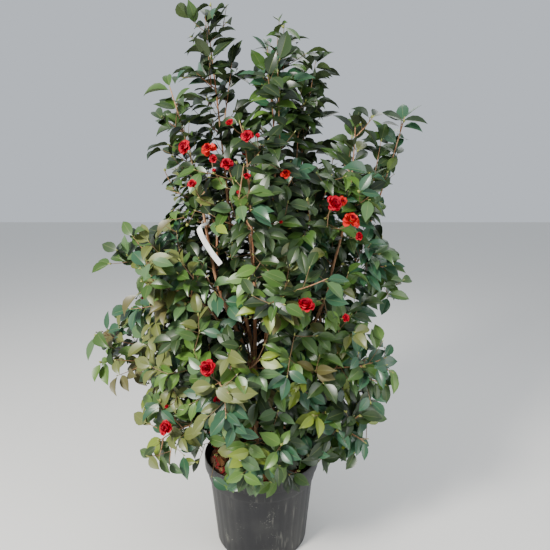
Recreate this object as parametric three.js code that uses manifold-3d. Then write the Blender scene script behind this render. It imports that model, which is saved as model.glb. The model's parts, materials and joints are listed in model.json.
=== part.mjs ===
// Camellia shrub in a black nursery pot, in millimetres, +Z up. The front faces -Y, and the origin is the
// middle of the pot's flat underside. Seven stems rise from one stool. Tiers of boughs leave them all round,
// and every stem and bough ends in a mass of twigs, leaves and red blooms that keeps to its own space.
import * as THREE from 'three';
import { mergeVertices } from 'three/addons/utils/BufferGeometryUtils.js';
import Module from 'manifold-3d';

const wasm = await Module();
wasm.setup();

// Pot
const POT_HEIGHT = 405;
const LIP_RADIUS = 251;
const LIP_HEIGHT = 50;
const NECK_RADIUS = 236;
const NECK_TAPER = 2;
const LEDGE_HEIGHT = 308;
const BODY_RADIUS = 229;
const FOOT_RADIUS = 200;
const FLUTES = 24;
const FLUTE_DEPTH = 3;
const EDGE = 5;
const WALL = 5;
const FLOOR = 8;
const CAVITY_SIDES = 20;

// Soil and stool
const GAP = 0.3;
const SOIL_HEIGHT = 362;
const SOIL_DIP = 12;
const SOIL_SLOPE = [[171, 0.7], [90, 1]];
const FLARE_RADIUS = 50;
const FLARE_PROFILE = [[1, 0], [0.8, 0.22], [0.6, 0.6], [0.48, 1]];
const STOOL_HEIGHT = 75;
const FLARE_RIDGES = 5;
const FLARE_SIDES = 10;
const RIDGE_DEPTH = 0.22;
const NECK_STEPS = 2;
const NECK_SWELL = 1.15;
const ROOT_RADIUS = 12;
const ROOT_HEIGHT = SOIL_HEIGHT + 35;
const FORK_RADIUS = 40;
const FORK_HEIGHT = SOIL_HEIGHT + 125;

// Stems: direction from the stool's middle (degrees from +X), height and radius of the ring where each leaves
// the clump, how far its upper part bows outwards, the girth of its leafy top, the tip that its leaves grow
// on from, and where they end.
const STEMS = [
  { name: 'stem_far_right', turn: 12, knee: 640, ring: 62, bow: 50, girth: 140,
    tip: [415, 60, 1290], end: [594, 50, 1890] },
  { name: 'stem_back', turn: 70, knee: 820, ring: 58, bow: 30, girth: 185,
    tip: [150, 150, 1400], end: [177, 120, 2069] },
  { name: 'stem_left', turn: 135, knee: 860, ring: 55, bow: 20, girth: 185,
    tip: [-135, 30, 1540], end: [-199, 10, 2225] },
  { name: 'stem_far_left', turn: 192, knee: 820, ring: 55, bow: 30, girth: 185,
    tip: [-225, -50, 1480], end: [-345, -70, 1984] },
  { name: 'stem_front', turn: 244, knee: 860, ring: 52, bow: -18, girth: 185,
    tip: [-30, -75, 1400], end: [-60, -150, 1830] },
  { name: 'stem_middle', turn: 290, knee: 860, ring: 50, bow: 10, girth: 185,
    tip: [58, -20, 1500], end: [26, 0, 2139] },
  { name: 'stem_right', turn: 332, knee: 780, ring: 60, bow: 55, girth: 185,
    tip: [300, -80, 1290], end: [369, -60, 1853] },
];
const STEM_FOOT_RADIUS = 11;
const STEM_TIP_RADIUS = 5;
const STEM_SIDES = 6;
const STEM_STEPS = 8;
const SHARE_STEP = 0.001;

// Tiers of boughs: how many, the first one's direction, the height where they leave the stems, how far their
// tips rise, how far the leaves rise from there, their girth, and their reach to each side of the plant.
const TIERS = [
  { name: 'skirt', boughs: 6, turn: 30, height: 520, rise: 70, lift: -20, girth: 205,
    right: 590, back: 450, left: 560, front: 440 },
  { name: 'lower', boughs: 5, turn: 36, height: 690, rise: 110, lift: 130, girth: 235,
    right: 560, back: 500, left: 680, front: 500 },
  { name: 'middle', boughs: 5, turn: 0, height: 930, rise: 140, lift: 190, girth: 235,
    right: 570, back: 480, left: 600, front: 470 },
  { name: 'upper', boughs: 4, turn: -12, height: 1180, rise: 170, lift: 230, girth: 215,
    right: 420, back: 400, left: 440, front: 370 },
];
const BOUGH_SHARE = 0.42;
const BOUGH_SAG = 0.15;
const LAST_BOUGH = 0.97;
const BOUGH_SEARCH_STEP = 0.005;
const BOUGH_STEM_RATIO = 0.62;
const BOUGH_TIP_RADIUS = 4.6;
const BOUGH_SIDES = 5;
const BOUGH_STEPS = 3;
const LIMB_CLEARANCE = 3;

// Foliage: leaves stand for the several that a real twig carries, so they are larger than life.
const CELL_MARGIN = 2.5;
const CORE_SHORT = 0.75;
const LEADER = { leafSize: 0.78, stemLeaves: 12, twigs: 3 };
const BOUGH_MASS = { leafSize: 1, stemLeaves: 4, twigs: 5 };
const MASS_BEND = 0.4;
const MASS_END_ROOM = 0.6;
const TWIG_PLACES = [0.08, 0.88];
const TWIG_OPENINGS = [74, 42];
const OPENING_SWING = 20;
const TWIG_TURN_SWING = 120;
const TWIG_LENGTHS = [0.75, 1.1];
const TWIG_LEAF_ROOM = 0.35;
const TWIG_RISE = 0.12;
const MASS_ROUNDNESS = 0.7;
const TWIG_TRIES = 6;
const LEAF_TRIES = 12;
const TRY_SHRINK = 0.03;
const TWIG_RADIUS = 2.4;
const TWIG_SIDES = 3;
const TWIG_STEPS = 1;
const MASS_STEPS = 3;
const MASS_FOOT_RADIUS = 6.4;
const MASS_TIP_RADIUS = 4.2;
const TWIG_TAPER = 0.8;
const SHORTEST_TWIG = 55;
const GOLDEN_ANGLE = 137.508;
const LEAVES_PER_TWIG = 5;
const LEAF_LENGTH = 154;
const LEAF_WIDTH = 82;
const LEAF_THICKNESS = 3;
const LEAF_FOLD = 7;
const LEAF_DROOP = 12;
const LEAF_SHOULDER = 0.46;
const LEAF_PLACES = [0.22, 0.86];
const LAST_LEAF = 0.96;
const UPRIGHT = 0.55;
const ROUND_SWING = 100;
const RANK_SWING = 70;
const LEAF_OPENINGS = [0.7, 1.15];
const LAST_LEAF_SWING = 0.6;
const LEAF_LIFT = [-0.3, 0.2];
const UPRIGHT_FACE = { up: 0.9, outward: -0.3 };
const LEVEL_FACE = { up: 0.55, outward: 0.75 };
const FACE_SWING = 1.1;
const FACE_SHARE = 0.85;
const LEAF_SIZES = [0.86, 1.12];
const LEAF_CLEARANCE = 2;
const RIM_CLEARANCE = 6;
const LINE_CHECKS = [0, 0.25, 0.5, 0.75, 1];
const LEAF_SPACING = 42;
const MASS_SEED = 101;
const MASS_SEED_STEP = 37;
const LEAF_SEED_STEP = 5003;
const SEAM_TOLERANCES = [1e-4, 1e-3];

// Blooms: middle of the flower and its radius.
const BLOOMS = [
  [-262, -200, 1698, 26], [-169, -220, 1690, 24], [-98, -180, 1780, 22], [-33, -230, 1733, 26],
  [-34, -300, 1594, 22], [-223, -280, 1570, 24], [97, -280, 1607, 26], [264, -300, 1507, 34],
  [326, -290, 1452, 32], [159, -400, 1185, 32], [305, -330, 1110, 24], [-170, -420, 960, 32],
  [-135, -430, 850, 22], [-344, -330, 690, 32], [230, 250, 1620, 28], [-290, 250, 1290, 32],
  [60, 420, 1180, 28], [-90, 420, 830, 32], [470, 110, 1200, 26], [-500, 80, 1080, 28], [330, 310, 760, 30],
];
const BLOOM_LEAST = 0.7;
const BLOOM_SIDES = 6;
const BLOOM_PROFILE = [[0, -0.62], [1, 0.05], [0.62, 0.42], [0, 0.3]];
const BLOOM_CORE = [-0.4, 0.5];
const STALK_PLACES = { first: 0.15, step: 0.1, count: 8 };

// Name strip that hangs from the far left stem
const STRIP_WIDTH = 18;
const STRIP_THICKNESS = 1;
const STRIP_TOP = [-231, -95, 1400];
const STRIP_END = [-150, -120, 1262];
const STRIP_SAG = 14;
const STRIP_STEPS = 8;

const UP = new THREE.Vector3(0, 0, 1);
const { degToRad, lerp, clamp } = THREE.MathUtils;

// A number generator that gives the same draws for the same seed.
function seeded(seed) {
  let state = seed >>> 0;
  return () => {
    state = (state + 0x6d2b79f5) >>> 0;
    let mixed = Math.imul(state ^ (state >>> 15), state | 1);
    mixed ^= mixed + Math.imul(mixed ^ (mixed >>> 7), mixed | 61);
    return ((mixed ^ (mixed >>> 14)) >>> 0) / 4294967296;
  };
}

// A draw from minus half the width to half of it.
function swing(draw, width) {
  return (draw() - 0.5) * width;
}

function polar(turn, radius, height) {
  const angle = degToRad(turn);
  return new THREE.Vector3(radius * Math.cos(angle), radius * Math.sin(angle), height);
}

// Closed solids

// The same surface with its corners shared and without faces that have no width.
function shared(geometry) {
  geometry.deleteAttribute('normal');
  geometry.deleteAttribute('uv');
  const merged = mergeVertices(geometry, SEAM_TOLERANCES[0]);
  const { array, count } = merged.index;
  const faces = Array.from({ length: count / 3 }, (_, i) => [...array.slice(3 * i, 3 * i + 3)]);
  merged.setIndex(faces.filter((face) => new Set(face).size === 3).flat());
  return merged;
}

function solidOf(geometry) {
  const merged = shared(geometry);
  return new wasm.Manifold(new wasm.Mesh({
    numProp: 3,
    vertProperties: new Float32Array(merged.getAttribute('position').array),
    triVerts: new Uint32Array(merged.index.array),
  }));
}

function geometryOf(solid) {
  const mesh = solid.getMesh();
  const geometry = new THREE.BufferGeometry();
  geometry.setAttribute('position', new THREE.BufferAttribute(mesh.vertProperties, 3));
  geometry.setIndex(new THREE.BufferAttribute(mesh.triVerts, 1));
  geometry.computeVertexNormals();
  return geometry;
}

// True where every edge joins two faces once points closer than the tolerance are taken as one.
function closed(geometry, tolerance) {
  const position = geometry.getAttribute('position');
  const corner = (i) => [position.getX(i), position.getY(i), position.getZ(i)]
    .map((value) => Math.round(value / tolerance)).join();
  const corners = Array.from({ length: position.count }, (_, i) => corner(i));
  const edges = new Map();
  const index = geometry.index.array;
  for (let i = 0; i < index.length; i += 3) {
    const face = [0, 1, 2].map((k) => corners[index[i + k]]);
    if (new Set(face).size < 3) continue;
    face.forEach((start, k) => {
      const end = face[(k + 1) % 3];
      const [key, way] = start < end ? [`${start}|${end}`, 1] : [`${end}|${start}`, -1];
      const [sum, uses] = edges.get(key) ?? [0, 0];
      edges.set(key, [sum + way, uses + 1]);
    });
  }
  return [...edges.values()].every(([sum, uses]) => sum === 0 && uses === 2);
}

// A profile of [radius, height] pairs turned round the Z axis.
function turned(profile, sides) {
  const points = profile.map(([radius, height]) => new THREE.Vector2(radius, height));
  return new THREE.LatheGeometry(points, sides).rotateX(Math.PI / 2);
}

// Points and frames along a curve, each frame carried on from the last one without twist.
function rings(curve, from, to, steps) {
  const list = [];
  let side = null;
  for (let i = 0; i <= steps; i++) {
    const u = lerp(from, to, i / steps);
    const along = curve.getTangentAt(u);
    const guess = side ?? (Math.abs(along.z) < 0.9 ? UP : new THREE.Vector3(1, 0, 0));
    side = guess.clone().addScaledVector(along, -guess.dot(along)).normalize();
    list.push({ point: curve.getPointAt(u), along, side, across: along.clone().cross(side) });
  }
  return list;
}

// A cylinder bent along part of a curve. The middle of each end is drawn to its rim, which saves faces.
function limb(curve, { from = 0, to = 1, foot, tip, sides, steps, swell = 0 }) {
  const frames = rings(curve, from, to, steps);
  const geometry = new THREE.CylinderGeometry(tip + swell, foot + swell, 1, sides, steps);
  const position = geometry.getAttribute('position');
  const vertex = new THREE.Vector3();
  for (let i = 0; i < position.count; i++) {
    vertex.fromBufferAttribute(position, i);
    if (!vertex.x && !vertex.z) vertex.z = vertex.y < 0 ? foot + swell : tip + swell;
    const { point, side, across } = frames[Math.round((vertex.y + 0.5) * steps)];
    const placed = point.clone().addScaledVector(side, vertex.z).addScaledVector(across, vertex.x);
    position.setXYZ(i, placed.x, placed.y, placed.z);
  }
  return geometry;
}

// Distances, for keeping twigs and leaves off the limbs

function segmentGap(a, b, c, d) {
  const u = b.clone().sub(a);
  const v = d.clone().sub(c);
  const w = a.clone().sub(c);
  const uu = u.dot(u), uv = u.dot(v), vv = v.dot(v), uw = u.dot(w), vw = v.dot(w);
  const spread = uu * vv - uv * uv;
  let s = spread > 1e-9 ? clamp((uv * vw - vv * uw) / spread, 0, 1) : 0;
  const t = clamp((uv * s + vw) / vv, 0, 1);
  s = clamp((uv * t - uw) / uu, 0, 1);
  return w.addScaledVector(u, s).addScaledVector(v, -t).length();
}

function triangleGap(corners, a, b) {
  const triangle = new THREE.Triangle(...corners);
  const way = b.clone().sub(a);
  const hit = new THREE.Vector3();
  const crossing = new THREE.Ray(a, way.clone().normalize()).intersectTriangle(...corners, false, hit);
  if (crossing && hit.distanceTo(a) <= way.length()) return 0;
  const edges = corners.map((corner, i) => segmentGap(corner, corners[(i + 1) % 3], a, b));
  const ends = [a, b].map((end) => triangle.closestPointToPoint(end, hit).distanceTo(end));
  return Math.min(...edges, ...ends);
}

// A point on the straight pieces that a bent limb is made of.
function onSpine(curve, steps, u) {
  const piece = Math.min(steps - 1, Math.floor(u * steps));
  return curve.getPointAt(piece / steps).lerp(curve.getPointAt((piece + 1) / steps), u * steps - piece);
}

function obstacle(curve, foot, tip, steps, name) {
  const points = curve.getSpacedPoints(steps);
  const radii = points.map((_, i) => lerp(foot, tip, i / steps));
  return points.slice(1).map((end, i) => ({ start: points[i], end, radius: radii[i], name }));
}

// Limbs

function stemOf(spec) {
  const tip = new THREE.Vector3(...spec.tip);
  const knee = polar(spec.turn, spec.ring, spec.knee);
  const outward = new THREE.Vector3(tip.x - knee.x, tip.y - knee.y, 0).normalize();
  const middle = knee.clone().lerp(tip, 0.5).addScaledVector(outward, spec.bow);
  const fork = polar(spec.turn, FORK_RADIUS, FORK_HEIGHT);
  const root = polar(spec.turn, ROOT_RADIUS, ROOT_HEIGHT);
  const curve = new THREE.CatmullRomCurve3([root, fork, knee, middle, tip], false, 'centripetal');
  let cut = 0;
  while (curve.getPointAt(cut).z < FORK_HEIGHT) cut += SHARE_STEP;
  return { ...spec, curve, cut, foot: STEM_FOOT_RADIUS, tipRadius: STEM_TIP_RADIUS, ...LEADER };
}

function stemRadius(stem, u) {
  return lerp(stem.foot, stem.tipRadius, (u - stem.cut) / (1 - stem.cut));
}

// How far the crown reaches from the pot's axis in one direction: a quarter ellipse between two of its sides.
function reachOf(tier, turn) {
  const x = Math.cos(degToRad(turn));
  const y = Math.sin(degToRad(turn));
  return 1 / Math.hypot(x / (x > 0 ? tier.right : tier.left), y / (y > 0 ? tier.back : tier.front));
}

function boughFrom(stem, tier, turn, number) {
  let u = stem.cut;
  while (u < LAST_BOUGH && stem.curve.getPointAt(u).z < tier.height) u += BOUGH_SEARCH_STEP;
  const start = stem.curve.getPointAt(u);
  const reach = reachOf(tier, turn);
  const tip = polar(turn, reach * BOUGH_SHARE, tier.height + tier.rise);
  const bend = start.clone().lerp(tip, 0.5).addScaledVector(UP, -tier.rise * BOUGH_SAG);
  return {
    name: `${tier.name}_bough_${number}`,
    curve: new THREE.QuadraticBezierCurve3(start, bend, tip),
    foot: stemRadius(stem, u) * BOUGH_STEM_RATIO,
    tipRadius: BOUGH_TIP_RADIUS,
    parent: stem,
    end: polar(turn, reach, tier.height + tier.rise + tier.lift).toArray(),
    girth: tier.girth,
    ...BOUGH_MASS,
  };
}

// A bough leaves the nearest stem from which it passes clear of every other limb.
function boughOf(tier, turn, number, stems, obstacles) {
  const way = polar(turn, 1, 0);
  const nearest = stems.map((stem) => boughFrom(stem, tier, turn, number))
    .sort((a, b) => b.curve.v0.dot(way) - a.curve.v0.dot(way));
  const clear = (bough) => {
    const pieces = obstacle(bough.curve, bough.foot, bough.tipRadius, BOUGH_STEPS, bough.name);
    const others = obstacles.filter(({ name }) => name !== bough.parent.name);
    const gap = (piece, other) => segmentGap(piece.start, piece.end, other.start, other.end);
    return pieces.every((piece) => others.every((other) => gap(piece, other)
      > piece.radius + other.radius + LIMB_CLEARANCE));
  };
  const found = nearest.find(clear);
  if (!found) throw new Error(`no clear way for ${tier.name} bough ${number}`);
  return found;
}

function boughSolid(bough) {
  const shape = { foot: bough.foot, tip: bough.tipRadius, sides: BOUGH_SIDES, steps: BOUGH_STEPS };
  return solidOf(limb(bough.curve, shape)).subtract(solidOf(stemGeometry(bough.parent, GAP)));
}

function stemGeometry(stem, swell = 0) {
  const from = stem.cut + GAP / stem.curve.getLength();
  return limb(stem.curve, {
    from, foot: stem.foot, tip: stem.tipRadius, sides: STEM_SIDES, steps: STEM_STEPS, swell,
  });
}

// The stool: a ridged root flare cut flat on the soil, and a short neck for each stem.
function stoolSolid(stems) {
  const foot = SOIL_HEIGHT + GAP;
  const top = SOIL_HEIGHT + STOOL_HEIGHT;
  const side = FLARE_PROFILE.map(([radius, height]) => [radius * FLARE_RADIUS, lerp(foot, top, height)]);
  const flare = turned([[0, foot], ...side, [0, top]], FLARE_SIDES);
  const position = flare.getAttribute('position');
  for (let i = 0; i < position.count; i++) {
    const angle = Math.atan2(position.getY(i), position.getX(i));
    const low = 1 - (position.getZ(i) - SOIL_HEIGHT) / STOOL_HEIGHT;
    const ridge = 1 + RIDGE_DEPTH * low * Math.cos(FLARE_RIDGES * angle);
    position.setXYZ(i, position.getX(i) * ridge, position.getY(i) * ridge, position.getZ(i));
  }
  const necks = stems.map((stem) => solidOf(limb(stem.curve, {
    to: stem.cut, foot: stem.foot * NECK_SWELL, tip: stem.foot, sides: STEM_SIDES, steps: NECK_STEPS,
  })));
  return necks.reduce((whole, neck) => whole.add(neck), solidOf(flare));
}

// Masses of foliage

// A mass's space: all within its girth of the line from the limb's tip towards the mass's end, cut off half
// way, by weight, to each other mass. The cuts are planes, so what has its corners inside them is inside.
function massOf(carrier, number) {
  const start = carrier.curve.getPointAt(1);
  const way = carrier.curve.getTangentAt(1);
  const end = new THREE.Vector3(...carrier.end);
  const length = end.distanceTo(start);
  const axis = end.clone().sub(start).normalize();
  const foot = start.clone().addScaledVector(way, GAP);
  const bend = foot.clone().addScaledVector(way, length * MASS_BEND);
  const stemEnd = end.clone().addScaledVector(axis, -LEAF_LENGTH * carrier.leafSize * MASS_END_ROOM);
  return {
    name: carrier.name.replace('bough', 'leaves').replace('stem', 'top'),
    seed: MASS_SEED + MASS_SEED_STEP * number,
    curve: new THREE.QuadraticBezierCurve3(foot, bend, stemEnd),
    foot: MASS_FOOT_RADIUS,
    middle: start.clone().lerp(end, 0.5),
    core: new THREE.Line3(start, end.clone().addScaledVector(axis, -CORE_SHORT * carrier.girth)),
    girth: carrier.girth,
    leafSize: carrier.leafSize,
    stemLeaves: carrier.stemLeaves,
    twigs: carrier.twigs,
  };
}

function cellGap(mass, other, point) {
  const between = other.middle.distanceTo(mass.middle);
  const far = other.middle.distanceToSquared(point) - other.girth ** 2;
  const near = mass.middle.distanceToSquared(point) - mass.girth ** 2;
  return (far - near) / (2 * between);
}

function holds(mass, masses, points) {
  const near = (point) => mass.core.closestPointToPoint(point, true, new THREE.Vector3()).distanceTo(point);
  return points.every((point) => near(point) < mass.girth
    && masses.every((other) => other === mass || cellGap(mass, other, point) > CELL_MARGIN));
}

// Six corners of a leaf: root, tip, two edges, ridge and keel.
function leafCorners({ root, way, face, size }) {
  const across = face.clone().cross(way).normalize();
  const axes = new THREE.Matrix4().makeBasis(way, across, way.clone().cross(across)).setPosition(root);
  const place = (x, y, z) => new THREE.Vector3(x, y, z).applyMatrix4(axes);
  const length = LEAF_LENGTH * size;
  const shoulder = length * LEAF_SHOULDER;
  const half = LEAF_WIDTH * size / 2;
  return {
    root,
    tip: place(length, 0, -LEAF_DROOP * size),
    left: place(shoulder, half, LEAF_FOLD),
    right: place(shoulder, -half, LEAF_FOLD),
    ridge: place(shoulder, 0, LEAF_THICKNESS / 2),
    keel: place(shoulder, 0, -LEAF_THICKNESS / 2),
  };
}

function leafGeometry(corners) {
  const geometry = new THREE.OctahedronGeometry(1);
  const position = geometry.getAttribute('position');
  const { root, tip, left, right, ridge, keel } = corners;
  for (let i = 0; i < position.count; i++) {
    const [x, y, z] = [position.getX(i), position.getY(i), position.getZ(i)].map(Math.round);
    const corner = (x && (x > 0 ? tip : root)) || (y && (y > 0 ? left : right)) || (z > 0 ? ridge : keel);
    position.setXYZ(i, ...corner.toArray());
  }
  return geometry;
}

function halves({ root, left, tip, right }) {
  return [[root, left, tip], [root, tip, right]];
}

function bladeClear(corners, obstacles) {
  return halves(corners).every((half) => obstacles.every(({ start, end, radius }) =>
    triangleGap(half, start, end) > radius + LEAF_CLEARANCE + LEAF_THICKNESS));
}

// True where neither leaf's outline or midrib passes through the other.
function bladesClear(one, other) {
  const lines = ({ root, left, tip, right }) =>
    [[root, left], [left, tip], [tip, right], [right, root], [root, tip]];
  const apart = (a, b) => halves(a).every((half) => lines(b).every(([start, end]) =>
    triangleGap(half, start, end) > LEAF_THICKNESS));
  return one.ridge.distanceTo(other.ridge) > LEAF_SPACING && apart(one, other) && apart(other, one);
}

// True where the lines between these points stay above the pot's rim or outside it.
function clearOfPot(points) {
  const clear = ({ x, y, z }) => z > POT_HEIGHT + RIM_CLEARANCE
    || Math.hypot(x, y) > LIP_RADIUS + RIM_CLEARANCE;
  const between = (start, end) => LINE_CHECKS.map((share) => start.clone().lerp(end, share));
  return points.every((start, i) => points.slice(i + 1).every((end) => between(start, end).every(clear)));
}

// The k-th of a twig's leaves: in two ranks on a spray that lies level, and all round one that stands up.
function leafOn(curve, steps, k, count, size, draw) {
  const last = k === count - 1;
  const u = last ? LAST_LEAF : lerp(...LEAF_PLACES, k / (count - 2));
  const way = curve.getTangentAt(u);
  const level = way.clone().cross(UP);
  const upright = level.length() < UPRIGHT;
  const sideways = (upright ? new THREE.Vector3(1, 0, 0).cross(way) : level).normalize();
  const place = upright ? k * GOLDEN_ANGLE : (k % 2) * 180;
  sideways.applyAxisAngle(way, degToRad(place + swing(draw, upright ? ROUND_SWING : RANK_SWING)));
  const open = last ? swing(draw, LAST_LEAF_SWING) : lerp(...LEAF_OPENINGS, draw());
  const leafWay = way.clone().multiplyScalar(Math.cos(open)).addScaledVector(sideways, Math.sin(open));
  leafWay.addScaledVector(UP, lerp(...LEAF_LIFT, draw()));
  const root = onSpine(curve, steps, u);
  const outward = new THREE.Vector3(root.x, root.y, 0).normalize();
  const lean = upright ? UPRIGHT_FACE : LEVEL_FACE;
  const face = UP.clone().multiplyScalar(lean.up).addScaledVector(outward, lean.outward);
  face.x += swing(draw, FACE_SWING);
  face.y += swing(draw, FACE_SWING);
  face.normalize();
  leafWay.addScaledVector(face, -FACE_SHARE * leafWay.dot(face)).normalize();
  return leafCorners({ root, way: leafWay, face, size: size * lerp(...LEAF_SIZES, draw()) });
}

// The k-th of a mass's twigs, turned on from the last one by the golden angle and shorter towards the end.
function twigOn(mass, k, draw) {
  const u = lerp(...TWIG_PLACES, k / (mass.twigs - 1));
  const start = onSpine(mass.curve, MASS_STEPS, u);
  const way = mass.curve.getTangentAt(u);
  const turn = degToRad(k * GOLDEN_ANGLE + draw() * TWIG_TURN_SWING);
  const side = UP.clone().cross(way).normalize().applyAxisAngle(way, turn);
  const open = degToRad(lerp(...TWIG_OPENINGS, u) + swing(draw, OPENING_SWING));
  const twigWay = way.clone().multiplyScalar(Math.cos(open)).addScaledVector(side, Math.sin(open));
  const half = mass.girth * Math.sqrt(1 - (2 * u - 1) ** 2 * MASS_ROUNDNESS);
  const room = half - LEAF_LENGTH * mass.leafSize * TWIG_LEAF_ROOM;
  const length = Math.max(SHORTEST_TWIG, room) * lerp(...TWIG_LENGTHS, draw());
  const end = start.clone().addScaledVector(twigWay, length).addScaledVector(UP, length * TWIG_RISE);
  return new THREE.QuadraticBezierCurve3(start, start.clone().lerp(end, 0.5), end);
}

function twigGeometry(curve, foot, tip, steps) {
  return limb(curve, { foot, tip, sides: TWIG_SIDES, steps });
}

function straightClear(from, to, obstacles) {
  return obstacles.every(({ start, end, radius }) => segmentGap(from, to, start, end)
    > TWIG_RADIUS + radius + LIMB_CLEARANCE);
}

function twigClear({ v0, v2 }, mass, masses, obstacles) {
  return clearOfPot([v0, v2]) && holds(mass, masses, [v0, v2]) && straightClear(v0, v2, obstacles);
}

// A double flower: a cup of petals round a raised heart, its back sunk over the tip of its twig.
function bloomGeometry(middle, way, radius) {
  const points = BLOOM_PROFILE.map(([out, along]) => new THREE.Vector2(out * radius, along * radius));
  const turn = new THREE.Quaternion().setFromUnitVectors(new THREE.Vector3(0, 1, 0), way);
  return new THREE.LatheGeometry(points, BLOOM_SIDES).applyQuaternion(turn).translate(...middle.toArray());
}

// The blooms that lie in a mass's space, each at the end of a twig from the nearest part of its stem.
function bloomsOf(mass, masses, obstacles) {
  const found = [];
  for (const [x, y, z, radius] of BLOOMS) {
    const middle = new THREE.Vector3(x, y, z);
    const others = masses.filter((other) => other !== mass);
    const room = Math.min(...others.map((other) => cellGap(mass, other, middle)));
    if (room < radius * BLOOM_LEAST) continue;
    const { first, step, count } = STALK_PLACES;
    const starts = Array.from({ length: count }, (_, i) => onSpine(mass.curve, MASS_STEPS, first + step * i));
    const start = starts.sort((a, b) => a.distanceTo(middle) - b.distanceTo(middle))[0];
    const bend = start.clone().lerp(middle, 0.5);
    const stalk = new THREE.QuadraticBezierCurve3(start, bend, middle);
    if (straightClear(start, middle, obstacles)) {
      found.push({ middle, size: Math.min(radius, room - CELL_MARGIN), way: stalk.getTangentAt(1), stalk });
    }
  }
  return found;
}

function grow(mass, masses, obstacles, attempt) {
  const draw = seeded(mass.seed);
  const drawLeaf = seeded(mass.seed + LEAF_SEED_STEP * (attempt + 1));
  const parts = [solidOf(twigGeometry(mass.curve, mass.foot, MASS_TIP_RADIUS, MASS_STEPS))];
  const blades = [];
  const carriers = [];
  const own = [obstacle(mass.curve, mass.foot, MASS_TIP_RADIUS, MASS_STEPS, 0)];
  const blooms = bloomsOf(mass, masses, obstacles);
  for (const { middle, size, way, stalk } of blooms) {
    own.push(obstacle(stalk, TWIG_RADIUS, TWIG_RADIUS, TWIG_STEPS, own.length));
    parts.push(solidOf(twigGeometry(stalk, TWIG_RADIUS, TWIG_RADIUS * TWIG_TAPER, TWIG_STEPS)));
    parts.push(solidOf(bloomGeometry(middle, way, size)));
    carriers.push([stalk, TWIG_STEPS, LEAVES_PER_TWIG]);
  }
  const petals = blooms.map(({ middle, size, way }) => {
    const [start, end] = BLOOM_CORE.map((along) => middle.clone().addScaledVector(way, along * size));
    return { start, end, radius: size * BLOOM_LEAST };
  });
  for (let k = blooms.length; k < mass.twigs; k++) {
    const tries = Array.from({ length: TWIG_TRIES }, () => twigOn(mass, k, draw));
    const away = [...obstacles, ...petals, ...own.slice(1).flat()];
    const twig = tries.find((way) => twigClear(way, mass, masses, away));
    if (twig) {
      own.push(obstacle(twig, TWIG_RADIUS, TWIG_RADIUS, TWIG_STEPS, own.length));
      parts.push(solidOf(twigGeometry(twig, TWIG_RADIUS, TWIG_RADIUS * TWIG_TAPER, TWIG_STEPS)));
      carriers.push([twig, TWIG_STEPS, LEAVES_PER_TWIG]);
    }
  }
  carriers.unshift([mass.curve, MASS_STEPS, mass.stemLeaves]);
  for (const [number, [curve, steps, count]] of carriers.entries()) {
    const others = [...obstacles, ...petals, ...own.filter((_, i) => i !== number).flat()];
    for (let k = 0; k < count; k++) {
      for (let tries = 0; tries < LEAF_TRIES; tries++) {
        const leaf = leafOn(curve, steps, k, count, mass.leafSize * (1 - TRY_SHRINK * tries), drawLeaf);
        const outline = [leaf.root, leaf.tip, leaf.left, leaf.right];
        if (clearOfPot(outline) && holds(mass, masses, outline)
          && blades.every((other) => bladesClear(leaf, other)) && bladeClear(leaf, others)) {
          parts.push(solidOf(leafGeometry(leaf)));
          blades.push(leaf);
          break;
        }
      }
    }
  }
  return wasm.Manifold.union(parts);
}

// The mass's geometry. Leaves that would seal a pocket or leave a seam too fine to close are dealt out again.
function massGeometry(mass, masses, obstacles) {
  for (let attempt = 0; ; attempt++) {
    const solid = grow(mass, masses, obstacles, attempt);
    const geometry = geometryOf(solid);
    const sealed = SEAM_TOLERANCES.every((size) => closed(geometry, size));
    if (sealed && solid.decompose().length === 1) return geometry;
  }
}

// Pot and soil

function potSolid() {
  const sides = 2 * FLUTES;
  const underLip = POT_HEIGHT - LIP_HEIGHT;
  const lipEdge = LIP_RADIUS - EDGE / 2;
  const outside = turned([
    [0, 0], [FOOT_RADIUS - EDGE, 0], [FOOT_RADIUS, EDGE], [BODY_RADIUS, LEDGE_HEIGHT - EDGE],
    [NECK_RADIUS - NECK_TAPER, LEDGE_HEIGHT], [NECK_RADIUS, underLip], [lipEdge, underLip],
    [LIP_RADIUS, POT_HEIGHT - EDGE], [lipEdge, POT_HEIGHT], [0, POT_HEIGHT],
  ], sides);
  const position = outside.getAttribute('position');
  for (let i = 0; i < position.count; i++) {
    const radius = Math.hypot(position.getX(i), position.getY(i));
    const height = position.getZ(i);
    const fluted = height > EDGE / 2 && height < LEDGE_HEIGHT - EDGE / 2;
    const side = Math.round(Math.atan2(position.getY(i), position.getX(i)) / (2 * Math.PI) * sides);
    const inward = fluted && Math.abs(side) % 2 ? (radius - FLUTE_DEPTH) / radius : 1;
    position.setXYZ(i, position.getX(i) * inward, position.getY(i) * inward, height);
  }
  const above = POT_HEIGHT + 1;
  const inside = turned([[0, FLOOR], ...cavityWall(), [LIP_RADIUS - WALL, above], [0, above]], CAVITY_SIDES);
  return solidOf(outside).subtract(solidOf(inside));
}

function cavityWall() {
  return [
    [FOOT_RADIUS - FLUTE_DEPTH - WALL, FLOOR], [BODY_RADIUS - FLUTE_DEPTH - WALL, LEDGE_HEIGHT],
    [NECK_RADIUS - WALL, POT_HEIGHT - LIP_HEIGHT + EDGE], [LIP_RADIUS - 2 * WALL, POT_HEIGHT - 2 * WALL],
  ];
}

function soilGeometry() {
  const [[footRadius], [ledgeRadius, ledge]] = cavityWall();
  const edge = SOIL_HEIGHT - SOIL_DIP;
  const slope = SOIL_SLOPE.map(([radius, rise]) => [radius, edge + SOIL_DIP * rise]);
  return turned([
    [0, FLOOR + GAP], [footRadius - GAP, FLOOR + GAP], [ledgeRadius - GAP, ledge],
    [NECK_RADIUS - WALL - NECK_TAPER, edge], ...slope, [0, SOIL_HEIGHT],
  ], CAVITY_SIDES);
}

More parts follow.
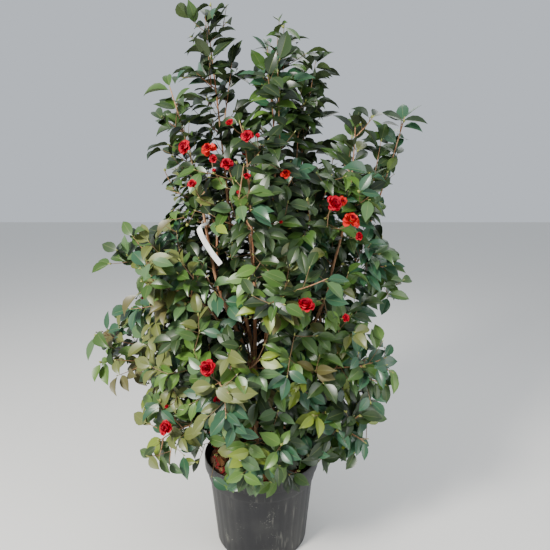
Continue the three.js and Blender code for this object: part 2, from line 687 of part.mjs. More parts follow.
// The name strip: a thin blank band that bends as it hangs.
function stripCurve() {
  const start = new THREE.Vector3(...STRIP_TOP);
  const end = new THREE.Vector3(...STRIP_END);
  const bend = start.clone().lerp(end, 0.5).addScaledVector(UP, STRIP_SAG);
  return new THREE.QuadraticBezierCurve3(start, bend, end);
}

function stripGeometry(curve) {
  const frames = rings(curve, 0, 1, STRIP_STEPS);
  const geometry = new THREE.BoxGeometry(STRIP_WIDTH, 1, STRIP_THICKNESS, 1, STRIP_STEPS, 1);
  const position = geometry.getAttribute('position');
  for (let i = 0; i < position.count; i++) {
    const { point, side, across } = frames[Math.round((position.getY(i) + 0.5) * STRIP_STEPS)];
    const placed = point.clone().addScaledVector(side, position.getX(i));
    placed.addScaledVector(across, -position.getZ(i));
    position.setXYZ(i, ...placed.toArray());
  }
  return geometry;
}

// Materials

const LOOKS = {
  pot: { color: 0x2b2d2f, roughness: 0.62 },
  soil: { color: 0x4a3325, roughness: 1 },
  bark: { color: 0x8a745c, roughness: 0.85 },
  leaves: { color: 0x2c4a22, roughness: 0.38 },
  strip: { color: 0xe8e6df, roughness: 0.5 },
};

function mesh(name, geometry, look) {
  const material = new THREE.MeshStandardMaterial({ metalness: 0, ...LOOKS[look] });
  const node = new THREE.Mesh(shared(geometry), material);
  node.name = name;
  return node;
}

const shrub = new THREE.Group();
shrub.add(mesh('pot', geometryOf(potSolid()), 'pot'));
shrub.add(mesh('soil', soilGeometry(), 'soil'));

const stems = STEMS.map(stemOf);
shrub.add(mesh('trunk', geometryOf(stoolSolid(stems)), 'bark'));
const obstacles = [];
for (const stem of stems) {
  shrub.add(mesh(stem.name, stemGeometry(stem), 'bark'));
  obstacles.push(...obstacle(stem.curve, stem.foot, stem.tipRadius, STEM_STEPS * 2, stem.name));
}

const boughs = [];
for (const tier of TIERS) {
  for (let i = 0; i < tier.boughs; i++) {
    const bough = boughOf(tier, tier.turn + (360 * i) / tier.boughs, i + 1, stems, obstacles);
    boughs.push(bough);
    shrub.add(mesh(bough.name, geometryOf(boughSolid(bough)), 'bark'));
    obstacles.push(...obstacle(bough.curve, bough.foot, bough.tipRadius, BOUGH_STEPS, bough.name));
  }
}

const strip = stripCurve();
shrub.add(mesh('name_strip', stripGeometry(strip), 'strip'));
const hung = [...obstacles, ...obstacle(strip, STRIP_WIDTH / 2, STRIP_WIDTH / 2, STRIP_STEPS, 'name_strip')];

const masses = [...stems, ...boughs].map(massOf);
for (const mass of masses) {
  hung.push(...obstacle(mass.curve, mass.foot, TWIG_RADIUS, MASS_STEPS, mass.name));
}
for (const mass of masses) {
  const others = hung.filter(({ name }) => name !== mass.name);
  shrub.add(mesh(mass.name, massGeometry(mass, masses, others), 'leaves'));
}

export default shrub;
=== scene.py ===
"""Camellia shrub in a black nursery pot, modelled round the shrub's frame, in metres, front to -Y."""

import functools
import json
import math
from bisect import bisect_right
from types import SimpleNamespace

import bmesh
import bpy
import numpy as np
from bpy.props import FloatProperty, FloatVectorProperty, IntProperty, PointerProperty
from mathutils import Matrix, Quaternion, Vector
from mathutils.kdtree import KDTree

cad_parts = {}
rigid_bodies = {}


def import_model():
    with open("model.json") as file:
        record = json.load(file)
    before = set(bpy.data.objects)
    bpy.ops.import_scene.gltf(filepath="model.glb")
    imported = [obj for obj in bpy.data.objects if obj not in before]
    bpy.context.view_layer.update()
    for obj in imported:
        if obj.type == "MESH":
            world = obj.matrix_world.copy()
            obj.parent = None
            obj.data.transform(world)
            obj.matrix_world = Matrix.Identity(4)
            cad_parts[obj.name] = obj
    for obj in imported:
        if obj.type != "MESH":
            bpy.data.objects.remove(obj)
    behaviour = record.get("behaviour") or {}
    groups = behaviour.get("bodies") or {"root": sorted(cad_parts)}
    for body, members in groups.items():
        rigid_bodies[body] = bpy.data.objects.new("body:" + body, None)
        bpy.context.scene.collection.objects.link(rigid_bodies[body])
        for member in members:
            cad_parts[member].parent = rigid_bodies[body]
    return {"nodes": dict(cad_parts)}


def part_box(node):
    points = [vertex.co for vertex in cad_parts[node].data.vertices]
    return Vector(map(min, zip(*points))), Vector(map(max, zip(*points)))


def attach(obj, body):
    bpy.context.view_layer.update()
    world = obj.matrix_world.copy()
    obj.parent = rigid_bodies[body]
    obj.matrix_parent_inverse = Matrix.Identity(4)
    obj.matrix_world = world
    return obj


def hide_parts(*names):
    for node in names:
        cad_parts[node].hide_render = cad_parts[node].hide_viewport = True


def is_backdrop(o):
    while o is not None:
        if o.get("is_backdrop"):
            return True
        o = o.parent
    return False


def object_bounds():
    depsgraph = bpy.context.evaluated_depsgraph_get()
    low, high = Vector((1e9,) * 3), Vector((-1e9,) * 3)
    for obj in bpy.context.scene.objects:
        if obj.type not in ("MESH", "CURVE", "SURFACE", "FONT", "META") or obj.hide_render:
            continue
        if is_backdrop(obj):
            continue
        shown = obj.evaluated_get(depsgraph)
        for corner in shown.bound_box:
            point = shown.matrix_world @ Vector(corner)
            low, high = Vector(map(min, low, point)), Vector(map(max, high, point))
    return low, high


bl_info = {
    "name": "Camellia Shrub",
    "version": (1, 0, 0),
    "blender": (4, 5, 0),
    "location": "3D View > Sidebar > Shrub",
    "description": "Models a potted camellia shrub in bloom, with its pot, soil, stems, leaves and flowers",
    "category": "Object",
}

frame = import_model()
FRAME_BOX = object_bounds()
UP = Vector((0, 0, 1))
POT_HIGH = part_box("pot")[1]
SOIL_LOW, SOIL_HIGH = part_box("soil")


def paint(red, green, blue):
    """A colour as it is mixed for a screen, 0 to 255, turned into light."""
    shares = [value / 255 for value in (red, green, blue)]
    return tuple(c / 12.92 if c <= 0.04045 else ((c + 0.055) / 1.055) ** 2.4 for c in shares)


def length_of(name, description, default):
    return FloatProperty(name=name, description=description, default=default, min=0, unit="LENGTH")


def colour_of(name, description, *screen):
    return FloatVectorProperty(name=name, description=description, default=paint(*screen),
                               min=0, max=1, size=3, subtype="COLOR")


# Settings that a user would change

class PotSettings(bpy.types.PropertyGroup):
    lip_height: length_of("Lip Height", "Height of the band round the rim", 0.050)
    neck_radius: length_of("Neck Radius", "Radius under the lip", 0.236)
    ledge_height: length_of("Ledge Height", "Height of the step between the neck and the body", 0.308)
    body_radius: length_of("Body Radius", "Radius at the top of the fluted body", 0.229)
    foot_radius: length_of("Foot Radius", "Radius at the foot", 0.200)
    wall: length_of("Wall", "Thickness of the wall", 0.005)
    flute_depth: length_of("Flute Depth", "Depth of the grooves down the body", 0.0012)
    flutes: IntProperty(name="Flutes", description="Grooves round the body", default=36, min=8)
    plastic: colour_of("Plastic", "Colour of the clean plastic", 16, 17, 23)
    dust: colour_of("Dust", "Colour of the dried splashes", 140, 140, 130)


class SoilSettings(bpy.types.PropertyGroup):
    dip: length_of("Dip", "How far the soil falls towards the wall", 0.012)
    dead_leaves: IntProperty(name="Dead Leaves", description="Dry leaves on the soil", default=170, min=0)
    crumbs: IntProperty(name="Crumbs", description="Lumps of peat and bark", default=900, min=0)
    peat: colour_of("Peat", "Colour of the dry soil", 128, 90, 68)
    damp: colour_of("Damp Peat", "Colour of the damp soil", 66, 46, 35)


class LimbSettings(bpy.types.PropertyGroup):
    relief: FloatProperty(name="Relief", default=0.22, min=0, max=1,
                          description="Depth of the bark's ridges as a share of the limb's radius")
    bark: colour_of("Bark", "Main colour of the bark", 188, 146, 108)
    furrow: colour_of("Furrow", "Colour down in the bark", 124, 88, 62)
    film: colour_of("Film", "Grey-green film on the bark", 136, 134, 112)
    shoot: colour_of("Shoot", "Colour of the young twigs", 118, 92, 62)


class FoliageSettings(bpy.types.PropertyGroup):
    leaf_length: length_of("Leaf Length", "Length of a full-grown leaf with its stalk", 0.085)
    leaf_width: length_of("Leaf Width", "Width of a full-grown leaf", 0.041)
    leaf_step: length_of("Leaf Step", "Distance from leaf to leaf along a shoot", 0.018)
    spacing: length_of("Spacing", "Least distance between the middles of two leaves", 0.018)
    under: colour_of("Underside", "Pale green that the undersides tend to", 114, 128, 70)
    rib: colour_of("Rib", "Pale green that midribs and leaf stalks tend to", 136, 146, 82)
    bud: colour_of("Bud", "Colour of the buds", 142, 148, 74)


class BloomSettings(bpy.types.PropertyGroup):
    red: colour_of("Red", "Colour of the fresh petals", 184, 0, 38)
    # The crimson of the inner petals is painted shade in the flower's heart.
    crimson: colour_of("Crimson", "Colour of the inner petals", 142, 0, 28)
    # The orange of the fading petals is partly their own colour and partly a painted highlight.
    orange: colour_of("Orange", "Colour of the fading petals", 208, 36, 32)


class StripSettings(bpy.types.PropertyGroup):
    width: length_of("Width", "Width of the name strip", 0.022)
    tail: length_of("Tail Width", "Width of the loop round the stem", 0.010)
    thickness: length_of("Thickness", "Thickness of the name strip", 0.0007)
    plastic: colour_of("Plastic", "Colour of the strip", 252, 252, 250)


class StageSettings(bpy.types.PropertyGroup):
    floor: colour_of("Floor", "Colour of the floor", 226, 225, 221)
    sky: colour_of("Surround", "Colour of the light all round", 226, 233, 242)
    eye_height: length_of("Eye Height", "Height of the camera", 1.600)
    distance: length_of("Distance", "How far the camera stands in front of the pot's middle", 1.981)
    lens: FloatProperty(name="Lens", description="Focal length in millimetres on a 36 mm frame",
                        default=32.07, min=1)
    pitch: FloatProperty(name="Pitch", description="How far the camera looks down",
                         default=math.radians(11.53), subtype="ANGLE")


# Finishes

class Signal:
    """A value that changes over a surface. Sums, differences and products with it add Math nodes."""

    def __init__(self, finish, socket):
        self.finish = finish
        self.socket = socket

    def joined(self, operation, first, second):
        return self.finish.node("ShaderNodeMath", {"operation": operation}, {0: first, 1: second})

    def __add__(self, other):
        return self.joined("ADD", self, other)

    def __sub__(self, other):
        return self.joined("SUBTRACT", self, other)

    def __mul__(self, other):
        return self.joined("MULTIPLY", self, other)

    def __rsub__(self, other):
        return self.joined("SUBTRACT", other, self)

    __radd__ = __add__
    __rmul__ = __mul__

    def between(self, low, high):
        """0 where the value is low or less, 1 where it is high or more."""
        return self.finish.node("ShaderNodeMapRange", {"clamp": True},
                                {"Value": self, "From Min": low, "From Max": high})


class Finish:
    """A material being made round one Principled shader."""

    def __init__(self, name, **constants):
        self.material = bpy.data.materials.new(name)
        self.material.use_nodes = True
        self.tree = self.material.node_tree
        self.shader = self.tree.nodes["Principled BSDF"]
        for socket, value in constants.items():
            self.set(socket.replace("_", " ").title().replace("Ior", "IOR"), value)

    def set(self, socket, value):
        """Sets or links one of the shader's sockets."""
        self.feed(self.shader.inputs[socket], value)

    def feed(self, socket, value):
        if isinstance(value, Signal):
            self.tree.links.new(value.socket, socket)
        elif socket.type == "RGBA" and len(value) == 3:
            socket.default_value = (*value, 1)
        else:
            socket.default_value = value

    def node(self, kind, settings=None, inputs=None, output=0):
        """Adds a node, makes its settings first and then sets or links its sockets."""
        node = self.tree.nodes.new(kind)
        for name, value in (settings or {}).items():
            setattr(node, name, value)
        for name, value in (inputs or {}).items():
            self.feed(node.inputs[name], value)
        return Signal(self, node.outputs[output])

    def place(self, scale=(1, 1, 1)):
        """The point on the object, with each axis scaled."""
        where = self.node("ShaderNodeTexCoord", output="Object")
        return self.node("ShaderNodeMapping", inputs={"Vector": where, "Scale": scale})

    def noise(self, scale, detail=3, stretch=(1, 1, 1)):
        inputs = {"Vector": self.place(stretch), "Scale": scale, "Detail": detail}
        return self.node("ShaderNodeTexNoise", inputs=inputs)

    def cells(self, scale):
        return self.node("ShaderNodeTexVoronoi", inputs={"Vector": self.place(), "Scale": scale})

    def blend(self, share, first, second):
        """The first colour where share is 0, the second where it is 1."""
        inputs = {"Factor": share, 6: first, 7: second}
        return self.node("ShaderNodeMix", {"data_type": "RGBA"}, inputs, output=2)

    def bump(self, height, strength, distance):
        inputs = {"Height": height, "Strength": strength, "Distance": distance}
        self.set("Normal", self.node("ShaderNodeBump", inputs=inputs))


def facing_up(finish):
    """How far the surface faces upwards, from -1 to 1."""
    normal = finish.node("ShaderNodeNewGeometry", output="Normal")
    return finish.node("ShaderNodeSeparateXYZ", inputs={"Vector": normal}, output="Z")


def pot_finish(pot):
    finish = Finish("pot_plastic", specular_ior_level=0.45)
    mottle = finish.noise(9, detail=5)
    drips = finish.noise(1, detail=4, stretch=(70, 70, 6)).between(0.60, 0.74)
    patches = finish.noise(5, detail=2).between(0.47, 0.62)
    specks = (1 - finish.cells(130).between(0.12, 0.26)) * finish.noise(14, detail=2).between(0.52, 0.62)
    film = facing_up(finish).between(0.25, 0.95) * 0.22
    dust = (drips * patches * 0.5 + specks * 0.6 + film + mottle.between(0.45, 0.8) * 0.08).between(0, 1)
    finish.set("Base Color", finish.blend(dust, tuple(pot.plastic), tuple(pot.dust)))
    finish.set("Roughness", 0.38 + dust * 0.4 + mottle * 0.12)
    finish.bump(finish.noise(320, detail=2) + drips * 0.6, 0.25, 0.0006)
    return finish.material


def soil_finish(soil):
    finish = Finish("soil", roughness=1.0)
    grain = finish.noise(150, detail=5)
    patches = finish.noise(18, detail=4)
    finish.set("Base Color", finish.blend((grain * 0.6 + patches * 0.6).between(0.42, 0.78),
                                          tuple(soil.damp), tuple(soil.peat)))
    finish.bump(grain, 0.8, 0.004)
    return finish.material


REDDISH_BARK = paint(146, 84, 56)


def bark_finish(name, limb, lightness=1.0):
    finish = Finish(name, specular_ior_level=0.3)
    streaks = finish.noise(1, detail=5, stretch=(210, 210, 26))
    patches = finish.noise(11, detail=3, stretch=(1, 1, 0.45))
    film = finish.noise(24, detail=4, stretch=(1, 1, 0.7)).between(0.53, 0.70) * 0.55
    bark = tuple(c * lightness for c in limb.bark)
    colour = finish.blend(streaks.between(0.36, 0.62), tuple(limb.furrow), bark)
    reddish = finish.blend(patches.between(0.48, 0.66) * 0.6, colour, REDDISH_BARK)
    finish.set("Base Color", finish.blend(film, reddish, tuple(limb.film)))
    finish.set("Roughness", 0.7 + film * 0.25)
    finish.bump(streaks + finish.noise(420, detail=2) * 0.3, 0.5, 0.0012)
    return finish.material


def plain_finish(name, colour, roughness, **constants):
    """A small thing's colour, the same all over, so that thousands of copies keep it."""
    return Finish(name, base_color=tuple(colour), roughness=roughness, **constants).material


def petal_finish(name, colour):
    return plain_finish(name, colour, 0.60, specular_ior_level=0.2)


SCUFFED_STRIP = paint(214, 212, 204)


def strip_finish(strip):
    finish = Finish("strip_plastic", specular_ior_level=0.4)
    scuffs = finish.noise(90, detail=4)
    scuffed = scuffs.between(0.5, 0.85) * 0.3
    finish.set("Base Color", finish.blend(scuffed, tuple(strip.plastic), SCUFFED_STRIP))
    finish.set("Roughness", 0.34 + scuffs * 0.2)
    finish.bump(scuffs, 0.15, 0.0004)
    return finish.material


# Modelling by hand

def deselect():
    bpy.ops.object.select_all(action="DESELECT")


def pick_out(piece):
    """Makes the piece the only one selected, and active."""
    deselect()
    piece.select_set(True)
    bpy.context.view_layer.objects.active = piece


def edit(piece):
    pick_out(piece)
    bpy.ops.object.mode_set(mode="EDIT")


def done():
    bpy.ops.object.mode_set(mode="OBJECT")
    return bpy.context.active_object


def unselected_net():
    """The mesh in edit mode, with nothing selected."""
    net = bmesh.from_edit_mesh(bpy.context.edit_object.data)
    for elements in (net.faces, net.edges, net.verts):
        for element in elements:
            element.select = False
    return net


def choose(numbers):
    """Selects these vertices in edit mode and nothing else."""
    net = unselected_net()
    net.verts.ensure_lookup_table()
    for number in numbers:
        net.verts[number].select = True
    net.select_flush_mode()
    bmesh.update_edit_mesh(bpy.context.edit_object.data)


def choose_edges(test):
    """Selects the edges whose two ends pass the test together."""
    bpy.ops.mesh.select_mode(type="EDGE")
    net = unselected_net()
    for edge in net.edges:
        edge.select = test(edge.verts[0].co, edge.verts[1].co)
    net.select_flush_mode()
    bmesh.update_edit_mesh(bpy.context.edit_object.data)


def settle(piece):
    """Puts the object's own place into its mesh."""
    piece.data.transform(piece.matrix_world)
    piece.location = (0, 0, 0)


def add_disc(name, sides, radius, height=0.0):
    """A flat disc, selected in edit mode so that it can be drawn up."""
    deselect()
    place = (0, 0, height)
    bpy.ops.mesh.primitive_circle_add(vertices=sides, radius=radius, fill_type="NGON", location=place)
    piece = bpy.context.active_object
    piece.name = piece.data.name = name
    settle(piece)
    edit(piece)
    bpy.ops.mesh.select_all(action="SELECT")
    return piece


def closed():
    """Turns every face outwards and leaves edit mode."""
    bpy.ops.mesh.select_all(action="SELECT")
    bpy.ops.mesh.normals_make_consistent(inside=False)
    done()


def lines_of(piece, axis):
    """Vertex numbers grouped by their place along one axis, lowest first."""
    groups = {}
    for vert in piece.data.vertices:
        groups.setdefault(round(vert.co[axis], 4), []).append(vert.index)
    return sorted(groups.items())


def join(pieces):
    deselect()
    for piece in pieces:
        piece.select_set(True)
    bpy.context.view_layer.objects.active = pieces[0]
    bpy.ops.object.join()
    return bpy.context.active_object


def finish_by(piece, kind, **settings):
    """Adds a modifier and applies it."""
    pick_out(piece)
    modifier = piece.modifiers.new(kind.title(), kind)
    for name, value in settings.items():
        setattr(modifier, name, value)
    bpy.ops.object.modifier_apply(modifier=modifier.name)


def roughen(piece, size, strength, name):
    """Moves the surface in and out by a cloud pattern."""
    clouds = bpy.data.textures.new(name, "CLOUDS")
    clouds.noise_scale = size
    clouds.noise_depth = 2
    finish_by(piece, "DISPLACE", texture=clouds, strength=strength, mid_level=0.5, texture_coords="LOCAL")


def smooth(piece, angle=50):
    pick_out(piece)
    bpy.ops.object.shade_smooth_by_angle(angle=math.radians(angle))


def shaped_grid(stations, rows):
    """A grid whose lines along X go to the rows (y, z), and those across it to the stations (x, width, z)."""
    deselect()
    bpy.ops.mesh.primitive_grid_add(x_subdivisions=len(stations) - 1, y_subdivisions=len(rows) - 1, size=2)
    grid = bpy.context.active_object
    columns, lines = lines_of(grid, 0), lines_of(grid, 1)
    edit(grid)
    for (was, line), (y, z) in zip(lines, rows):
        choose(line)
        bpy.ops.transform.translate(value=(0, y - was, z))
    for (was, column), (x, width, z) in zip(columns, stations):
        choose(column)
        bpy.ops.transform.resize(value=(1, width, width), center_override=(was, 0, 0))
        bpy.ops.transform.translate(value=(x - was, 0, z))
    return done()


BLADE_FINISHES = 3


def model_blade(stations, rows, under_rows, rib=0.0):
    """A closed thin blade, one long and up to two wide, with finish 0 above, 1 below and 2 on its rib."""
    upper = shaped_grid(stations, rows)
    under = shaped_grid(stations, under_rows)
    edit(under)
    bpy.ops.mesh.select_all(action="SELECT")
    bpy.ops.mesh.flip_normals()
    done()
    widths = [max(abs(upper.data.vertices[v].co.y) for v in face.vertices) for face in upper.data.polygons]
    numbers = [2 if width < rib else 0 for width in widths] + [1] * len(under.data.polygons)
    blade = join([upper, under])
    for face, number in zip(blade.data.polygons, numbers):
        face.material_index = number
    edit(blade)
    bpy.ops.mesh.select_all(action="SELECT")
    bpy.ops.mesh.remove_doubles(threshold=1e-5)
    return done()


class Shape:
    """A modelled piece read into arrays, so that it can be copied many times."""

    def __init__(self, piece):
        mesh = piece.data
        self.points = self.read(mesh.vertices, "co", 3)
        self.corners = self.read(mesh.loops, "vertex_index")
        self.starts = self.read(mesh.polygons, "loop_start")
        self.finishes = self.read(mesh.polygons, "material_index")
        bpy.data.objects.remove(piece)

    @staticmethod
    def read(rows, name, width=1):
        values = np.zeros(len(rows) * width, np.float64 if width > 1 else np.int64)
        rows.foreach_get(name, values)
        return values.reshape(-1, width) if width > 1 else values

    def set_down(self, places):
        """The points of one copy for each place, a 3 by 4 matrix."""
        places = np.array(places, float).reshape(-1, 3, 4)
        return np.einsum("nij,vj->nvi", places[:, :, :3], self.points) + places[:, None, :, 3]

    def bent(self, path, foot, tip, start=0.0, end=1.0):
        """The points of one copy of a tube carried along the path, its radius going from foot to tip."""
        heights = np.unique(self.points[:, 2].round(5))
        frames = np.array([[*p, *s, *a] for p, s, a in frames_along(path, start, end, heights)])
        which = np.searchsorted(heights, self.points[:, 2].round(5))
        chosen = frames[which]
        radius = foot + (tip - foot) * self.points[:, 2:3]
        sideways = chosen[:, 3:6] * self.points[:, 0:1] + chosen[:, 6:9] * self.points[:, 1:2]
        return (chosen[:, 0:3] + sideways * radius)[None]


def joined_copies(name, groups, finishes):
    """One object from copies of shapes. groups pairs a shape with its copies' points."""
    points, corners, starts, numbers = [], [], [], []
    point_count = corner_count = 0
    for shape, copies in groups:
        count = len(copies)
        step = np.arange(count)[:, None]
        points.append(copies.reshape(-1, 3))
        corners.append((shape.corners[None] + point_count + step * len(shape.points)).ravel())
        starts.append((shape.starts[None] + corner_count + step * len(shape.corners)).ravel())
        numbers.append(np.tile(shape.finishes, count))
        point_count += count * len(shape.points)
        corner_count += count * len(shape.corners)
    mesh = bpy.data.meshes.new(name)
    mesh.vertices.add(point_count)
    mesh.vertices.foreach_set("co", np.concatenate(points).ravel().astype(np.float32))
    mesh.loops.add(corner_count)
    mesh.loops.foreach_set("vertex_index", np.concatenate(corners).astype(np.int32))
    starts = np.concatenate(starts).astype(np.int32)
    mesh.polygons.add(len(starts))
    mesh.polygons.foreach_set("loop_start", starts)
    mesh.update(calc_edges=True)
    for material in finishes:
        mesh.materials.append(material)
    mesh.polygons.foreach_set("material_index", np.concatenate(numbers).astype(np.int32))
    mesh.validate()
    piece = bpy.data.objects.new(name, mesh)
    bpy.context.scene.collection.objects.link(piece)
    bpy.context.view_layer.update()
    smooth(piece)
    return piece


def hand_over(piece, slot, *nodes):
    """The piece rides with the shrub and stands for the nodes. The slot is not used."""
    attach(piece, "root")
    if nodes:
        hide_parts(*nodes)


# Growth: the rule that the frame's limbs and masses follow, carried on to finer twigs

GAP = 0.0003
SOIL_HEIGHT = 0.362
FORK_RADIUS = 0.040
FORK_HEIGHT = SOIL_HEIGHT + 0.125
ROOT_RADIUS = FORK_RADIUS * 0.3
ROOT_HEIGHT = SOIL_HEIGHT + 0.035
CUT_STEPS = 1000
STEM_STEPS = 16
STEM_FOOT_RADIUS = 0.011
STEM_TIP_RADIUS = 0.005
GOLDEN_ANGLE = 137.508

# Name, turn, height and radius of the ring it passes, bow, girth of its top, the tip that leaves grow on
# from, and the end of those leaves
STEMS = (
    ("stem_far_right", 12, 0.640, 0.062, 0.050, 0.140, (0.415, 0.060, 1.290), (0.594, 0.050, 1.890)),
    ("stem_back", 70, 0.820, 0.058, 0.030, 0.185, (0.150, 0.150, 1.400), (0.177, 0.120, 2.069)),
    ("stem_left", 135, 0.860, 0.055, 0.020, 0.185, (-0.135, 0.030, 1.540), (-0.199, 0.010, 2.225)),
    ("stem_far_left", 192, 0.820, 0.055, 0.030, 0.185, (-0.225, -0.050, 1.480), (-0.345, -0.070, 1.984)),
    ("stem_front", 244, 0.860, 0.052, -0.018, 0.185, (-0.030, -0.075, 1.400), (-0.060, -0.150, 1.830)),
    ("stem_middle", 290, 0.860, 0.050, 0.010, 0.185, (0.058, -0.020, 1.500), (0.026, 0.000, 2.139)),
    ("stem_right", 332, 0.780, 0.060, 0.055, 0.185, (0.300, -0.080, 1.290), (0.369, -0.060, 1.853)),
)

# Name, boughs, turn of the first, height, rise, lift, girth, and reach to the right, back, left and front
TIERS = (
    ("skirt", 6, 30, 0.520, 0.070, -0.020, 0.205, (0.590, 0.450, 0.560, 0.440)),
    ("lower", 5, 36, 0.690, 0.110, 0.130, 0.235, (0.560, 0.500, 0.680, 0.500)),
    ("middle", 5, 0, 0.930, 0.140, 0.190, 0.235, (0.570, 0.480, 0.600, 0.470)),
    ("upper", 4, -12, 1.180, 0.170, 0.230, 0.215, (0.420, 0.400, 0.440, 0.370)),
)
BOUGH_SHARE = 0.42
BOUGH_STEM_RATIO = 0.62
BOUGH_TIP_RADIUS = 0.0046
BOUGH_STEPS = 3
BOUGH_SAG = 0.15
BOUGH_SEARCH_STEP = 0.005
LAST_BOUGH = 0.97
LIMB_CLEARANCE = 0.003
MASS_BEND = 0.4
MASS_TIP_SHORT = 0.055
MASS_SEED = 101
MASS_SEED_STEP = 37
CORE_SHORT = 0.75
SHORTEST_TWIG = 0.055


def seeded(seed):
    """The same number generator as the frame's."""
    state = seed & 0xFFFFFFFF

    def draw():
        nonlocal state
        state = (state + 0x6D2B79F5) & 0xFFFFFFFF
        mixed = ((state ^ (state >> 15)) * (state | 1)) & 0xFFFFFFFF
        mixed ^= (mixed + (((mixed ^ (mixed >> 7)) * (mixed | 61)) & 0xFFFFFFFF)) & 0xFFFFFFFF
        return ((mixed ^ (mixed >> 14)) & 0xFFFFFFFF) / 4294967296

    return draw


def polar(turn, radius, height):
    angle = math.radians(turn)
    return Vector((radius * math.cos(angle), radius * math.sin(angle), height))


def mixed(first, second, share):
    return first + (second - first) * share


class Path:
    """A line through points, read by the share of its length."""

    def __init__(self, points):
        self.points = [Vector(point) for point in points]
        self.marks = [0.0]
        for a, b in zip(self.points, self.points[1:]):
            self.marks.append(self.marks[-1] + (b - a).length)
        self.length = self.marks[-1]

    def piece(self, share):
        distance = min(max(share, 0), 1) * self.length
        number = min(bisect_right(self.marks, distance), len(self.marks) - 1) - 1
        return number, (distance - self.marks[number]) / (self.marks[number + 1] - self.marks[number])

    def at(self, share):
        number, part = self.piece(share)
        return self.points[number].lerp(self.points[number + 1], part)

    def along(self, share):
        number, part = self.piece(share)
        here = self.points[number + 1] - self.points[number]
        if part > 0.5 and number + 2 < len(self.points):
            here = here.lerp(self.points[number + 2] - self.points[number + 1], part - 0.5)
        elif part < 0.5 and number:
            here = here.lerp(self.points[number] - self.points[number - 1], 0.5 - part)
        return here.normalized()


def shares_along(path, step):
    """Shares of the path from its foot to its tip, at most a step apart."""
    count = math.ceil(path.length / step)
    return [i / count for i in range(count + 1)]


def arc(start, bend, end, steps=12):
    shares = [i / steps for i in range(steps + 1)]
    return Path([start.lerp(bend, t).lerp(bend.lerp(end, t), t) for t in shares])


def spline(points, steps=24):
    """A smooth line through the points that doesn't overshoot between close ones."""
    guides = [2 * points[0] - points[1], *points, 2 * points[-1] - points[-2]]
    line = [points[0]]
    for p0, p1, p2, p3 in zip(guides, guides[1:], guides[2:], guides[3:]):
        d0, d1, d2 = ((b - a).length ** 0.5 for a, b in ((p0, p1), (p1, p2), (p2, p3)))
        way_in = ((p1 - p0) / d0 - (p2 - p0) / (d0 + d1) + (p2 - p1) / d1) * d1
        way_out = ((p2 - p1) / d1 - (p3 - p1) / (d1 + d2) + (p3 - p2) / d2) * d1
        for t in (i / steps for i in range(1, steps + 1)):
            line.append((2 * t**3 - 3 * t**2 + 1) * p1 + (t**3 - 2 * t**2 + t) * way_in
                        + (3 * t**2 - 2 * t**3) * p2 + (t**3 - t**2) * way_out)
    return Path(line)


def frames_along(path, start, end, shares):
    """Point, side and other side at each share, each frame carried on from the last without twist."""
    side = None
    for share in shares:
        u = mixed(start, end, float(share))
        way = path.along(u)
        guess = side if side else (UP if abs(way.z) < 0.9 else Vector((1, 0, 0)))
        side = (guess - way * guess.dot(way)).normalized()
        yield path.at(u), side, way.cross(side)


def segment_gap(a, b, c, d):
    """The least distance between two straight pieces."""
    u, v, w = b - a, d - c, a - c
    uu, uv, vv, uw, vw = u.dot(u), u.dot(v), v.dot(v), u.dot(w), v.dot(w)
    spread = uu * vv - uv * uv
    s = min(max((uv * vw - vv * uw) / spread, 0), 1) if spread > 1e-15 else 0
    t = min(max((uv * s + vw) / vv, 0), 1)
    s = min(max((uv * t - uw) / uu, 0), 1)
    return (w + u * s - v * t).length


def grow_stem(name, turn, knee_height, ring, bow, girth, tip, end):
    """A stem from inside the stool, through its place on the ring, to the tip that its top grows on from."""
    tip = Vector(tip)
    knee = polar(turn, ring, knee_height)
    outward = Vector((tip.x - knee.x, tip.y - knee.y, 0)).normalized()
    middle = knee.lerp(tip, 0.5) + outward * bow
    fork = polar(turn, FORK_RADIUS, FORK_HEIGHT)
    root = polar(turn, ROOT_RADIUS, ROOT_HEIGHT)
    path = spline([root, fork, knee, middle, tip])
    cut = next(i / CUT_STEPS for i in range(CUT_STEPS) if path.at(i / CUT_STEPS).z >= FORK_HEIGHT)
    return SimpleNamespace(name=name, path=path, cut=cut, foot=STEM_FOOT_RADIUS, tip=STEM_TIP_RADIUS,
                           end=Vector(end), girth=girth, leader=True, parent=None)


def pieces_of(path, foot, tip, steps, name):
    """Straight pieces of a limb, each with its ends, its radius and the limb's name."""
    points = [path.at(i / steps) for i in range(steps + 1)]
    return [(a, b, mixed(foot, tip, i / steps), name) for i, (a, b) in enumerate(zip(points, points[1:]), 1)]


def grow_bough(stem, tier, turn, number):
    """The bough of a tier that leaves this stem at the tier's height and reaches out at the turn."""
    name, _, _, height, rise, lift, girth, (right, back, left, front) = tier
    share = stem.cut
    while share < LAST_BOUGH and stem.path.at(share).z < height:
        share += BOUGH_SEARCH_STEP
    start = stem.path.at(share)
    x, y = math.cos(math.radians(turn)), math.sin(math.radians(turn))
    reach = 1 / math.hypot(x / (right if x > 0 else left), y / (back if y > 0 else front))
    tip = polar(turn, reach * BOUGH_SHARE, height + rise)
    bend = start.lerp(tip, 0.5) - UP * rise * BOUGH_SAG
    radius = mixed(stem.foot, stem.tip, (share - stem.cut) / (1 - stem.cut)) * BOUGH_STEM_RATIO
    return SimpleNamespace(name=f"{name}_bough_{number}", path=arc(start, bend, tip), cut=0, foot=radius,
                           tip=BOUGH_TIP_RADIUS, end=polar(turn, reach, height + rise + lift), girth=girth,
                           leader=False, parent=stem)


